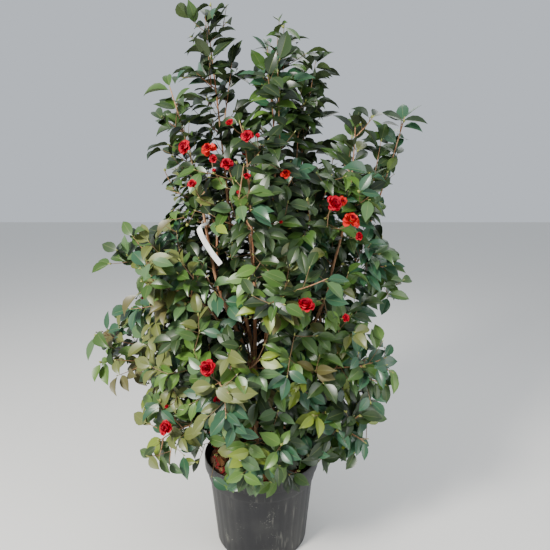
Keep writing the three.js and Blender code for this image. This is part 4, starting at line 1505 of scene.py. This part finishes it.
def pot_outline(pot):
    """The pot's section from the rim of its underside, up the outside, over the lip and down inside."""
    top, lip = POT_HIGH.z, POT_HIGH.x
    under_lip = top - pot.lip_height
    ledge = pot.ledge_height
    wall = pot.wall
    return [
        (pot.foot_radius - 0.002, 0.0012), (pot.foot_radius, 0.005),
        (mixed(pot.foot_radius, pot.body_radius, 0.04), 0.016),
        (mixed(pot.foot_radius, pot.body_radius, 0.96), ledge - 0.012),
        (pot.body_radius, ledge - 0.004), (pot.body_radius + 0.001, ledge - 0.001),
        (pot.neck_radius - 0.001, ledge + 0.001), (pot.neck_radius, ledge + 0.004),
        (pot.neck_radius + 0.001, under_lip - 0.004), (pot.neck_radius + 0.003, under_lip - 0.001),
        (lip - 0.004, under_lip), (lip - 0.0015, under_lip + 0.0012),
        (lip - 0.0005, under_lip + LIP_EDGE * 2), (lip, top - LIP_EDGE * 2),
        (lip - 0.0008, top - 0.0016), (lip - LIP_EDGE, top),
        (lip - wall + 0.001, top), (lip - wall, top - 0.0016), (lip - wall - 0.001, top - 0.008),
        (pot.neck_radius - wall, under_lip + 0.005), (pot.neck_radius - wall - 0.001, ledge + 0.004),
        (pot.body_radius - pot.flute_depth - wall, ledge - 0.004),
        (pot.foot_radius - pot.flute_depth - wall, 0.010),
    ]


def extrude_rings(outline, radius, height):
    """Draws the selected disc up through the outline, ring by ring."""
    for next_radius, next_height in outline:
        bpy.ops.mesh.extrude_region_move(TRANSFORM_OT_translate={"value": (0, 0, next_height - height)})
        grown = next_radius / radius
        bpy.ops.transform.resize(value=(grown, grown, 1), center_override=(0, 0, next_height))
        radius, height = next_radius, next_height


def model_pot(pot):
    """The pot, drawn up ring by ring, with grooves down its body and a seam in front."""
    sides = pot.flutes * POT_SIDES_PER_FLUTE
    foot = pot.foot_radius - 0.006
    piece = add_disc("nursery_pot", sides, foot)
    extrude_rings(pot_outline(pot), foot, 0.0)
    done()
    body = [v for v in piece.data.vertices
            if 0.010 < v.co.z < pot.ledge_height - 0.008 and v.co.xy.length > pot.foot_radius - 0.001]
    edit(piece)
    for phase, depth in GROOVE_DEPTHS.items():
        groove = [v.index for v in body if round(math.atan2(v.co.y, v.co.x) / math.tau * sides)
                  % POT_SIDES_PER_FLUTE == phase]
        choose(groove)
        inward = 1 - depth * pot.flute_depth / pot.body_radius
        bpy.ops.transform.resize(value=(inward, inward, 1), center_override=(0, 0, 0))
    seam = [v.index for v in body if abs(math.atan2(v.co.y, v.co.x) - SEAM_TURN) < math.pi / sides]
    choose(seam)
    bpy.ops.transform.resize(value=(SEAM_SWELL, SEAM_SWELL, 1), center_override=(0, 0, 0))
    closed()
    smooth(piece, 32)
    piece.data.materials.append(pot_finish(pot))
    hand_over(piece, "pot", "pot")


SOIL_RINGS = 16
SOIL_SIDES = 96
HEAP = (-0.180, -0.030)
HEAP_RADIUS = 0.170
HEAP_HEIGHT = 0.027

# Size and strength of the lumps on the soil
LUMPS = ((0.035, 0.009), (0.009, 0.005))


def heap(x, y):
    """How far the soil is heaped up by the left of the rim."""
    gap = math.hypot(x - HEAP[0], y - HEAP[1]) / HEAP_RADIUS
    return HEAP_HEIGHT * max(0, 1 - gap**2)


def model_soil(soil):
    """The ground that fills the pot, lumpy on top and heaped up on one side."""
    pot = bpy.context.scene.shrub_pot
    low, foot = SOIL_LOW.z, pot.foot_radius - pot.flute_depth - pot.wall - GAP * 2
    wide = pot.body_radius - pot.flute_depth - pot.wall - GAP * 2
    edge = pot.neck_radius - pot.wall - 0.002
    piece = add_disc("soil_bed", SOIL_SIDES, foot, low)
    extrude_rings([(wide, pot.ledge_height - 0.004), (edge, SOIL_HIGH.z - soil.dip)], foot, low)
    for ring in range(SOIL_RINGS):
        bpy.ops.mesh.inset(thickness=edge / (SOIL_RINGS + 0.5), depth=0)
        rise = soil.dip * 1.5 / SOIL_RINGS * (1 - ring / SOIL_RINGS)
        bpy.ops.transform.translate(value=(0, 0, rise))
    closed()
    wall_line = SOIL_HIGH.z - soil.dip
    top = piece.vertex_groups.new(name="top")
    top.add([v.index for v in piece.data.vertices if v.co.z > wall_line + 0.0005], 1, "REPLACE")
    edit(piece)
    choose([v.index for v in piece.data.vertices if v.co.z > wall_line - 0.001])
    bpy.ops.mesh.subdivide(number_cuts=1)
    done()
    for size, strength in LUMPS:
        clouds = bpy.data.textures.new("soil_lumps", "CLOUDS")
        clouds.noise_scale = size
        finish_by(piece, "DISPLACE", texture=clouds, strength=strength, mid_level=0.5, direction="Z",
                  texture_coords="LOCAL", vertex_group="top")
    for vert in piece.data.vertices:
        if vert.co.z > wall_line - 0.004:
            vert.co.z += heap(vert.co.x, vert.co.y)
    smooth(piece, 60)
    piece.data.materials.append(soil_finish(soil))
    hand_over(piece, "soil", "soil")


def soil_top(x, y):
    """Height of the soil's surface, without its lumps."""
    soil = bpy.context.scene.shrub_soil
    share = min(1, math.hypot(x, y) / SOIL_HIGH.x)
    return SOIL_HIGH.z - soil.dip * 1.5 * share**2 * 0.5 - soil.dip * 0.2 + heap(x, y)


def turned_axes(draw, tilt):
    """Three axes turned at random about the upright and tilted at random up to an angle."""
    turn = Quaternion(UP, draw() * math.tau) @ Quaternion(Vector((1, 0, 0)), (draw() - 0.5) * 2 * tilt)
    turn = turn @ Quaternion(Vector((0, 1, 0)), (draw() - 0.5) * 2 * tilt)
    return [turn @ Vector(axis) for axis in ((1, 0, 0), (0, 1, 0), (0, 0, 1))]


def scattered(count, size, lift, tilt, seed, heaped=False, width=1):
    """Places on the soil, clear of the stool and the wall, or on the heap by the left of the rim."""
    draw = seeded(seed)
    found = []
    while len(found) < count:
        radius = mixed(0.050, SOIL_HIGH.x - 0.020, math.sqrt(draw()))
        turn = draw() * math.tau
        x, y = radius * math.cos(turn), radius * math.sin(turn)
        if heaped and heap(x, y) < HEAP_HEIGHT * 0.6:
            continue
        scale = size * (0.6 + draw() * 0.8)
        axes = turned_axes(draw, tilt)
        origin = Vector((x, y, soil_top(x, y) + lift * draw()))
        if math.hypot(*(origin + axes[0] * scale).xy) < SOIL_HIGH.x - 0.006:
            found.append(placed(origin, *axes, (scale, scale * width, scale)))
    return found


LEAF_ROWS = ((-1, 0.105), (-0.035, 0.0), (0.035, 0.0), (1, 0.105))
LEAF_UNDER = ((-1, 0.105), (0, -0.010), (1, 0.105))
LEAF_PLACES = (0, 0.09, 0.20, 0.36, 0.55, 0.75, 0.90, 1.0)
LEAF_WIDTHS = (0.045, 0.045, 0.58, 0.95, 0.99, 0.70, 0.27, 0.015)

# How much of the fold each cut of leaf keeps, and its midrib's height at each place, as shares of its length
LEAF_CUTS = (
    (0.9, (0, 0.015, 0.030, 0.045, 0.045, 0.025, -0.010, -0.055)),
    (1.2, (0, 0.020, 0.045, 0.065, 0.060, 0.015, -0.055, -0.130)),
    (0.5, (0, 0.010, 0.020, 0.030, 0.032, 0.020, 0.000, -0.030)),
    (1.6, (0, 0.015, 0.030, 0.045, 0.040, 0.015, -0.035, -0.100)),
    (0.2, (0, 0.015, 0.020, 0.010, -0.015, -0.050, -0.095, -0.150)),
)


@functools.lru_cache(maxsize=None)
def leaf_shapes():
    """One leaf of each cut."""
    shapes = []
    for fold, heights in LEAF_CUTS:
        stations = list(zip(LEAF_PLACES, LEAF_WIDTHS, heights))
        rows = [(y, z * fold) for y, z in LEAF_ROWS]
        under = [(y, z * fold if y else z) for y, z in LEAF_UNDER]
        shapes.append(Shape(model_blade(stations, rows, under, rib=0.05)))
    return shapes


def petal_shape(cup, flare):
    """A petal, narrow at its root and cupped, with its rim flared back."""
    stations = ((0, 0.30, 0), (0.25, 0.62, -0.02), (0.5, 0.92, -0.02), (0.75, 1.0, 0.02 + flare * 0.3),
                (0.93, 0.80, 0.03 + flare * 0.1), (1.0, 0.42, 0.02 - flare))
    rows = ((-1, cup), (-0.5, cup * 0.3), (0, 0.0), (0.5, cup * 0.3), (1, cup))
    under = ((-1, cup), (-0.5, cup * 0.3 - 0.03), (0, -0.03), (0.5, cup * 0.3 - 0.03), (1, cup))
    return Shape(model_blade(stations, rows, under))


# Sides and cuts of the tube for each kind of limb
TUBES = {"stem": (14, 119), "bough": (12, 35), "neck": (14, 23), "twig": (6, 8), "shoot": (4, 3)}
TUBE_RUN = 12
BOUGH_SWELL = 1.15
NECK_SWELL = 1.25


def tube_shape(kind, relief=0.0):
    """A tube of radius 1 and height 1, cut into rings, with ridges that run along it."""
    sides, cuts = TUBES[kind]
    deselect()
    place = (0, 0, TUBE_RUN / 2)
    bpy.ops.mesh.primitive_cylinder_add(vertices=sides, radius=1, depth=TUBE_RUN, location=place)
    tube = bpy.context.active_object
    settle(tube)
    edit(tube)
    choose_edges(lambda a, b: abs(a.z - b.z) > TUBE_RUN / 2)
    bpy.ops.mesh.subdivide(number_cuts=cuts)
    done()
    rings = {v.index: v.co.z for v in tube.data.vertices}
    if relief:
        roughen(tube, 0.9, relief, "bark_swell")
        roughen(tube, 0.35, relief * 0.7, "bark_ridges")
    for vert in tube.data.vertices:
        vert.co.z = rings[vert.index] / TUBE_RUN
    return Shape(tube)


def model_limbs(limb):
    """Stems and boughs, each a rough tube bent along its path, the boughs swollen at the foot."""
    stems, boughs = limbs()
    long, short = tube_shape("stem", limb.relief), tube_shape("bough", limb.relief)
    finish = bark_finish("bark", limb)
    for stem in stems:
        start = stem.cut + GAP / stem.path.length
        points = long.bent(stem.path, stem.foot, stem.tip, start=start)
        hand_over(joined_copies(stem.name + "_bark", [(long, points)], [finish]), "bark", stem.name)
    groups = [(short, short.bent(bough.path, bough.foot * BOUGH_SWELL, bough.tip)) for bough in boughs]
    piece = joined_copies("bough_bark", groups, [finish])
    hand_over(piece, "bark", *[bough.name for bough in boughs])


FLARE_SIDES = 60
FLARE_FOOT = 0.054
FLARE_OUTLINE = ((0.050, 0.016), (0.040, 0.030), (0.031, 0.048), (0.026, 0.062), (0.022, 0.076))
FLARE_RIDGES = 5
FLARE_SWELL = 0.16
RIDGE_TOP = SOIL_HEIGHT + 0.04


def model_trunk(limb):
    """The stool: a ridged flare with a neck for each stem, melted together and roughened."""
    stems, _ = limbs()
    low = SOIL_HEIGHT + GAP
    flare = add_disc("flare", FLARE_SIDES, FLARE_FOOT, low)
    extrude_rings([(radius, SOIL_HEIGHT + height) for radius, height in FLARE_OUTLINE], FLARE_FOOT, low)
    for side in range(FLARE_SIDES):
        turn = side / FLARE_SIDES * math.tau
        low_verts = [v for v in bmesh.from_edit_mesh(flare.data).verts if v.co.z < RIDGE_TOP]
        choose([v.index for v in low_verts
                if abs(math.remainder(math.atan2(v.co.y, v.co.x) - turn, math.tau)) < 0.01])
        swell = 1 + FLARE_SWELL * math.cos(FLARE_RIDGES * turn)
        bpy.ops.transform.resize(value=(swell, swell, 1), center_override=(0, 0, 0))
    closed()
    tube = tube_shape("neck")
    necks = [(tube, tube.bent(stem.path, stem.foot * NECK_SWELL, stem.foot, end=stem.cut)) for stem in stems]
    piece = join([joined_copies("stool", necks, []), flare])
    finish_by(piece, "REMESH", mode="VOXEL", voxel_size=0.0022)
    finish_by(piece, "SMOOTH", factor=0.5, iterations=3)
    roughen(piece, 0.006, 0.0022, "stool_bark")
    piece.data.materials.clear()
    piece.data.materials.append(bark_finish("stool_bark", limb, 0.9))
    smooth(piece, 80)
    hand_over(piece, "bark", "trunk")


def mass_nodes():
    """The names of the frame's masses of foliage."""
    return [name for name in frame["nodes"] if name.startswith("top_") or "_leaves_" in name]


def model_twigs(limb):
    """Every twig, a small tube bent along its path, the older ones in bark and the finer ones plain."""
    older, finer = tube_shape("twig"), tube_shape("shoot")
    twigs, shoots = [], []
    for twig, end in kept_sprays():
        shape, group = (older, twigs) if twig.foot > TWIGLET_RADIUS else (finer, shoots)
        group.append((shape, shape.bent(twig.path, twig.foot, twig.tip, end=end)))
    for bloom in blooms():
        shoots.append((finer, finer.bent(bloom.stalk, TWIGLET_RADIUS, TWIGLET_RADIUS)))
    twig_finish = bark_finish("twig_bark", limb, 1.05)
    hand_over(joined_copies("twigs", twigs, [twig_finish]), "bark", *mass_nodes())
    shoot_finish = plain_finish("young_shoot", limb.shoot, 0.6)
    hand_over(joined_copies("shoots", shoots, [shoot_finish]), "bark", *mass_nodes())


UNDER_SHARE = 0.35
# The deep and shade tints keep darker undersides, as painted shade.
DARK_UNDER_SHARE = 0.4
RIB_SHARE = 0.30


def blended(first, second, share):
    return tuple(mixed(a, b, share) for a, b in zip(first, second))


def copies_of(shapes, cuts):
    """Each shape that has places, with its copies' points."""
    return [(shape, shape.set_down(places)) for shape, places in zip(shapes, cuts) if places]


def model_leaves(look):
    """The leaves, one piece for each tint."""
    shapes = leaf_shapes()
    for name, colour, roughness in TINTS:
        upper = plain_finish("leaf_" + name, paint(*colour), roughness)
        # Darker undersides for the deep and shade tints: painted shade.
        share = UNDER_SHARE * (DARK_UNDER_SHARE if name in ("deep", "shade") else 1)
        under = plain_finish("underside_" + name, blended(paint(*colour), look.under, share), 0.6)
        rib = plain_finish("rib_" + name, blended(paint(*colour), look.rib, RIB_SHARE), 0.5)
        cuts = [[] for _ in shapes]
        for leaf in leaves():
            if leaf.tint == name:
                length = look.leaf_length * leaf.size
                scale = (length, look.leaf_width * leaf.size * leaf.plump / 2, length)
                place = placed(leaf.root, leaf.way, leaf.across, leaf.face, scale)
                cuts[int(leaf.cut * len(shapes))].append(place)
        piece = joined_copies("leaves_" + name, copies_of(shapes, cuts), [upper, under, rib])
        hand_over(piece, "leaves", *mass_nodes())


def bud_shape():
    """A pointed bud along +X, one long."""
    deselect()
    bpy.ops.mesh.primitive_uv_sphere_add(segments=5, ring_count=4, radius=0.5)
    bud = bpy.context.active_object
    edit(bud)
    bpy.ops.mesh.select_all(action="SELECT")
    bpy.ops.transform.rotate(value=math.pi / 2, orient_axis="Y", center_override=(0, 0, 0))
    bpy.ops.transform.translate(value=(0.5, 0, 0))
    done()
    groups = lines_of(bud, 0)
    edit(bud)
    for x, ring in groups:
        choose(ring)
        narrow = 1.05 - 0.75 * max(0, x - 0.35)
        bpy.ops.transform.resize(value=(1, narrow, narrow), center_override=(x, 0, 0))
    return Shape(done())


BUD_SEED = 19
FLOWER_BUD_SHARE = 0.22


def bud_place(base, way, side, length, width):
    """A place for a bud that points along the way, its width a share of its length."""
    return placed(base, way, side, way.cross(side), (length, length * width, length * width))


def model_buds(look):
    """Leaf buds at the shoots' tips, flower buds beside some of them, and the cups behind the flowers."""
    shape = bud_shape()
    draw = seeded(BUD_SEED)
    places = []
    for twig, end in kept_sprays():
        tip, way = twig.path.at(end), twig.path.along(end)
        side = side_way(way, draw() * math.tau)
        places.append(bud_place(tip - way * 0.001, way, side, 0.008 + draw() * 0.006, 0.42))
        if draw() < FLOWER_BUD_SHARE:
            out = (way + side * 0.9).normalized()
            places.append(bud_place(tip - way * 0.004, out, side_way(out, 0), 0.010 + draw() * 0.006, 0.8))
    for bloom in blooms():
        size = bloom.radius * 0.75
        base = bloom.base - bloom.way * size * 0.25
        places.append(bud_place(base, bloom.way, side_way(bloom.way, 0), size, 0.95))
    finish = plain_finish("bud_scale", look.bud, 0.5)
    hand_over(joined_copies("buds", [(shape, shape.set_down(places))], [finish]), "leaves", *mass_nodes())


# Cup of each petal shape, and how far its rim is flared back
PETALS = ((0.22, 0.05), (0.34, -0.04), (0.14, 0.12))
PETALS_SEED = 900
# Petals within HEART_SHARE of the heart are crimson: painted shade in the flower's heart.
HEART_SHARE = 0.45
FRESH_HEART_SHARE = 0.3


def model_blooms(look):
    """Double flowers and fading ones, petal by petal, with painted shade in their crimson hearts and orange
    outer petals on the fading ones that are partly a painted highlight.
    """
    shapes = [petal_shape(cup, flare) for cup, flare in PETALS]
    sorts = {sort: [[] for _ in shapes] for sort in ("red", "crimson", "orange")}
    for number, bloom in enumerate(blooms()):
        draw = seeded(PETALS_SEED + number)
        for share, place in petals_of(bloom, draw):
            # Outer petals of faded flowers turn orange: partly their fading colour, partly a painted
            # highlight.
            faded_and_highlit = bloom.kind == "faded" and share > FRESH_HEART_SHARE
            sort = "orange" if faded_and_highlit else "crimson" if share < HEART_SHARE else "red"
            sorts[sort][int(draw() * len(shapes))].append(place)
    for sort, cuts in sorts.items():
        finish = petal_finish("petal_" + sort, getattr(look, sort))
        piece = joined_copies("petals_" + sort, copies_of(shapes, cuts), [finish] * BLADE_FINISHES)
        hand_over(piece, "blooms", *mass_nodes())


# Name, colour, cut of leaf and two seeds of each tone of dry leaf
DRY_LEAVES = (
    ("tan", (184, 134, 88), 1, 41, 45),
    ("russet", (160, 84, 58), 3, 42, 46),
    ("dark", (104, 68, 50), 4, 43, 47),
)
DRY_WIDTH = 0.24
HEAPED_TILT = 0.41
FALLEN_TILT = 0.39
FALLEN_LIFT = 0.012
CRUMB_SEED = 31
PALE_CRUMB_SEED = 32
FALLEN_SEED = 51
HEAPED_FALLEN_SEED = 52


def lay_down(name, shape, places, finishes):
    """Copies of a shape as one piece on the soil."""
    hand_over(joined_copies(name, [(shape, shape.set_down(places))], finishes), "soil", "soil")


def model_litter(soil):
    """What lies on the soil: crumbs of peat and bark, dry leaves and fallen petals."""
    deselect()
    bpy.ops.mesh.primitive_ico_sphere_add(subdivisions=1, radius=1)
    lump = bpy.context.active_object
    roughen(lump, 0.8, 0.6, "crumb_lumps")
    crumb = Shape(lump)
    places = scattered(soil.crumbs, 0.0034, 0.004, 0.3, CRUMB_SEED)
    lay_down("soil_crumbs", crumb, places, [plain_finish("peat_crumbs", soil.peat, 1.0)])
    places = scattered(soil.crumbs // 12, 0.0032, 0.005, 0.3, PALE_CRUMB_SEED)
    lay_down("pale_crumbs", crumb, places, [plain_finish("pale_crumbs", paint(186, 170, 140), 0.9)])
    for name, colour, cut, seed, heaped_seed in DRY_LEAVES:
        places = scattered(soil.dead_leaves // 3, 0.062, 0.020, 0.7, seed, width=DRY_WIDTH)
        places += scattered(soil.dead_leaves // 9, 0.050, FALLEN_LIFT, HEAPED_TILT, heaped_seed,
                            heaped=True, width=DRY_WIDTH)
        finish = plain_finish("dry_leaf_" + name, paint(*colour), 0.75)
        lay_down("dry_leaves_" + name, leaf_shapes()[cut], places, [finish] * BLADE_FINISHES)
    places = scattered(soil.dead_leaves // 4, 0.024, FALLEN_LIFT, FALLEN_TILT, FALLEN_SEED)
    places += scattered(soil.dead_leaves // 6, 0.024, FALLEN_LIFT, FALLEN_TILT, HEAPED_FALLEN_SEED,
                        heaped=True)
    finish = petal_finish("fallen_petal", paint(176, 58, 62))
    lay_down("fallen_petals", petal_shape(0.25, 0.1), places, [finish] * BLADE_FINISHES)


STRIP_BOW = Vector((-0.016, 0, -0.008))
STRIP_FACING = Vector((-0.30, -0.95, 0.10))
STRIP_STATIONS = 60
STRIP_ROWS = ((-1, 0), (-0.4, 0), (0.4, 0), (1, 0))
FACE_STEPS = 16
FACE_SHARE = 1.03
HOOK_STEPS = 200
HOOK_ABOVE = 0.006
TAIL_END = Vector((0.004, 0.004, 0.003))
ROUND_END = 0.012
ROUND_WIDTH = 0.82
NARROWING = 0.03
LOOP_RADIUS = 0.015
LOOP_RISE = 0.014
LOOP_BLEND = 0.08
LOOP_TURNS = (55, 110, 165, 220, 275, 320)


def strip_hook():
    """Where the strip hangs on its stem."""
    path = next(stem.path for stem in limbs()[0] if stem.name == "stem_far_left")
    points = (path.at(i / HOOK_STEPS) for i in range(HOOK_STEPS))
    return next(point for point in points if point.z > STRIP_TOP.z + HOOK_ABOVE)


def strip_width_at(share, length, strip):
    """Half-width of the band, with a rounded end, a full face and a narrow tail."""
    tail = strip.tail / strip.width
    if share < ROUND_END:
        return ROUND_WIDTH
    if share < length - 0.02:
        return 1.0
    return mixed(1.0, tail, min(1, (share - length + 0.02) / NARROWING))


def model_strip(strip):
    """The blank name strip: a band whose narrow tail goes round the stem and back."""
    hook = strip_hook()
    face = arc(STRIP_END, STRIP_END.lerp(STRIP_TOP, 0.5) + STRIP_BOW, STRIP_TOP, FACE_STEPS).points
    toward = STRIP_TOP - hook
    first = math.degrees(math.atan2(toward.y, toward.x))
    loop = [hook + polar(first + turn, LOOP_RADIUS, LOOP_RISE * math.sin(math.radians(turn / 2)))
            for turn in LOOP_TURNS]
    path = spline([face[0], face[FACE_STEPS // 2], face[-1], *loop, STRIP_TOP + TAIL_END], 16)
    length = (face[-1] - face[0]).length / path.length * FACE_SHARE
    shares = [i / STRIP_STATIONS for i in range(STRIP_STATIONS + 1)]
    stations = [(share, strip_width_at(share, length, strip), 0) for share in shares]
    band = shaped_grid(stations, STRIP_ROWS)
    band.name = band.data.name = "name_strip_band"
    for vert in band.data.vertices:
        point = path.at(vert.co.x)
        outward = Vector((point.x - hook.x, point.y - hook.y, 0)).normalized()
        facing = STRIP_FACING.lerp(outward, min(max((vert.co.x - length) / LOOP_BLEND, 0), 1))
        side = path.along(vert.co.x).cross(facing).normalized()
        vert.co = point + side * vert.co.y * strip.width / 2
    finish_by(band, "SOLIDIFY", thickness=strip.thickness, offset=0)
    smooth(band)
    band.data.materials.append(strip_finish(strip))
    hand_over(band, "strip", "name_strip")


# Stage

FLOOR_SIZE = 30
CAMERA_X = 0.06
LOOK_AT = Vector((0, 0, 1.15))

# Name, place, size, power in watts and colour
LIGHTS = (
    ("key", (-2.3, -2.6, 3.5), 0.9, 330, (1.00, 0.97, 0.91)),
    ("fill", (2.8, -1.8, 2.3), 2.2, 60, (1.00, 1.00, 1.00)),
    ("back", (0.9, 2.4, 4.0), 2.4, 45, (1.00, 1.00, 1.00)),
)
SURROUND_STRENGTH = 0.80


def set_stage(stage):
    """The floor, the light all round, the lamps and the camera."""
    deselect()
    bpy.ops.mesh.primitive_plane_add(size=FLOOR_SIZE)
    floor = bpy.context.active_object
    floor.name = "floor"
    finish = Finish("pale_floor", base_color=tuple(stage.floor), roughness=0.9)
    floor.data.materials.append(finish.material)
    floor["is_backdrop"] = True
    world = bpy.data.worlds.new("soft_surround")
    world.use_nodes = True
    world.node_tree.nodes["Background"].inputs["Color"].default_value = (*stage.sky, 1)
    world.node_tree.nodes["Background"].inputs["Strength"].default_value = SURROUND_STRENGTH
    bpy.context.scene.world = world
    for name, place, size, power, colour in LIGHTS:
        bpy.ops.object.light_add(type="AREA", location=place)
        lamp = bpy.context.active_object
        lamp.name = name
        lamp.data.size = size
        lamp.data.energy = power
        lamp.data.color = colour
        lamp.rotation_euler = (LOOK_AT - Vector(place)).to_track_quat("-Z", "Y").to_euler()
    bpy.ops.object.camera_add(location=(CAMERA_X, -stage.distance, stage.eye_height),
                              rotation=(math.pi / 2 - stage.pitch, 0, 0))
    camera = bpy.context.active_object
    camera.data.lens = stage.lens
    bpy.context.scene.camera = camera


# Operators

class ShrubStage(bpy.types.Operator):
    """Lay the floor and set the lights and the camera"""
    bl_idname = "shrub.stage"
    bl_label = "Stage"

    def execute(self, context):
        set_stage(context.scene.shrub_stage)
        return {"FINISHED"}


class ShrubPot(bpy.types.Operator):
    """Model the fluted nursery pot"""
    bl_idname = "shrub.pot"
    bl_label = "Pot"

    def execute(self, context):
        model_pot(context.scene.shrub_pot)
        return {"FINISHED"}


class ShrubSoil(bpy.types.Operator):
    """Model the soil and what lies on it"""
    bl_idname = "shrub.soil"
    bl_label = "Soil and Litter"

    def execute(self, context):
        model_soil(context.scene.shrub_soil)
        model_litter(context.scene.shrub_soil)
        return {"FINISHED"}


class ShrubLimbs(bpy.types.Operator):
    """Model the stool, the stems and the boughs with the bark's relief"""
    bl_idname = "shrub.limbs"
    bl_label = "Stool, Stems and Boughs"

    def execute(self, context):
        model_trunk(context.scene.shrub_limbs)
        model_limbs(context.scene.shrub_limbs)
        return {"FINISHED"}


class ShrubTwigs(bpy.types.Operator):
    """Grow the twigs and shoots of every mass of foliage"""
    bl_idname = "shrub.twigs"
    bl_label = "Twigs"

    def execute(self, context):
        model_twigs(context.scene.shrub_limbs)
        return {"FINISHED"}


class ShrubLeaves(bpy.types.Operator):
    """Set the leaves and buds on the twigs"""
    bl_idname = "shrub.leaves"
    bl_label = "Leaves and Buds"

    def execute(self, context):
        model_leaves(context.scene.shrub_foliage)
        model_buds(context.scene.shrub_foliage)
        return {"FINISHED"}


class ShrubBlooms(bpy.types.Operator):
    """Model the red flowers petal by petal"""
    bl_idname = "shrub.blooms"
    bl_label = "Flowers"

    def execute(self, context):
        model_blooms(context.scene.shrub_blooms)
        return {"FINISHED"}


class ShrubStrip(bpy.types.Operator):
    """Hang the blank name strip on its stem"""
    bl_idname = "shrub.strip"
    bl_label = "Name Strip"

    def execute(self, context):
        model_strip(context.scene.shrub_strip)
        return {"FINISHED"}


OPERATORS = (ShrubStage, ShrubPot, ShrubSoil, ShrubLimbs, ShrubTwigs, ShrubLeaves, ShrubBlooms, ShrubStrip)


class ShrubPanel(bpy.types.Panel):
    """The shrub's pieces, in the order in which they are made"""
    bl_idname = "VIEW3D_PT_shrub"
    bl_label = "Potted Shrub"
    bl_space_type = "VIEW_3D"
    bl_region_type = "UI"
    bl_category = "Shrub"

    def draw(self, context):
        for operator in OPERATORS:
            self.layout.operator(operator.bl_idname)


SETTINGS = {
    "shrub_stage": StageSettings,
    "shrub_pot": PotSettings,
    "shrub_soil": SoilSettings,
    "shrub_limbs": LimbSettings,
    "shrub_foliage": FoliageSettings,
    "shrub_blooms": BloomSettings,
    "shrub_strip": StripSettings,
}


def register():
    for cls in (*SETTINGS.values(), *OPERATORS, ShrubPanel):
        bpy.utils.register_class(cls)
    for name, cls in SETTINGS.items():
        setattr(bpy.types.Scene, name, PointerProperty(type=cls))


def unregister():
    for name in SETTINGS:
        delattr(bpy.types.Scene, name)
    for cls in (ShrubPanel, *reversed(OPERATORS), *SETTINGS.values()):
        bpy.utils.unregister_class(cls)


def main():
    register()
    bpy.ops.shrub.stage()
    bpy.ops.shrub.pot()
    bpy.ops.shrub.soil()
    bpy.ops.shrub.limbs()
    bpy.ops.shrub.twigs()
    bpy.ops.shrub.leaves()
    bpy.ops.shrub.blooms()
    bpy.ops.shrub.strip()
    boxes = {"cad": FRAME_BOX, "visual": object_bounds()}
    {name: [list(corner) for corner in box] for name, box in boxes.items()}


if __name__ == "__main__":
    main()
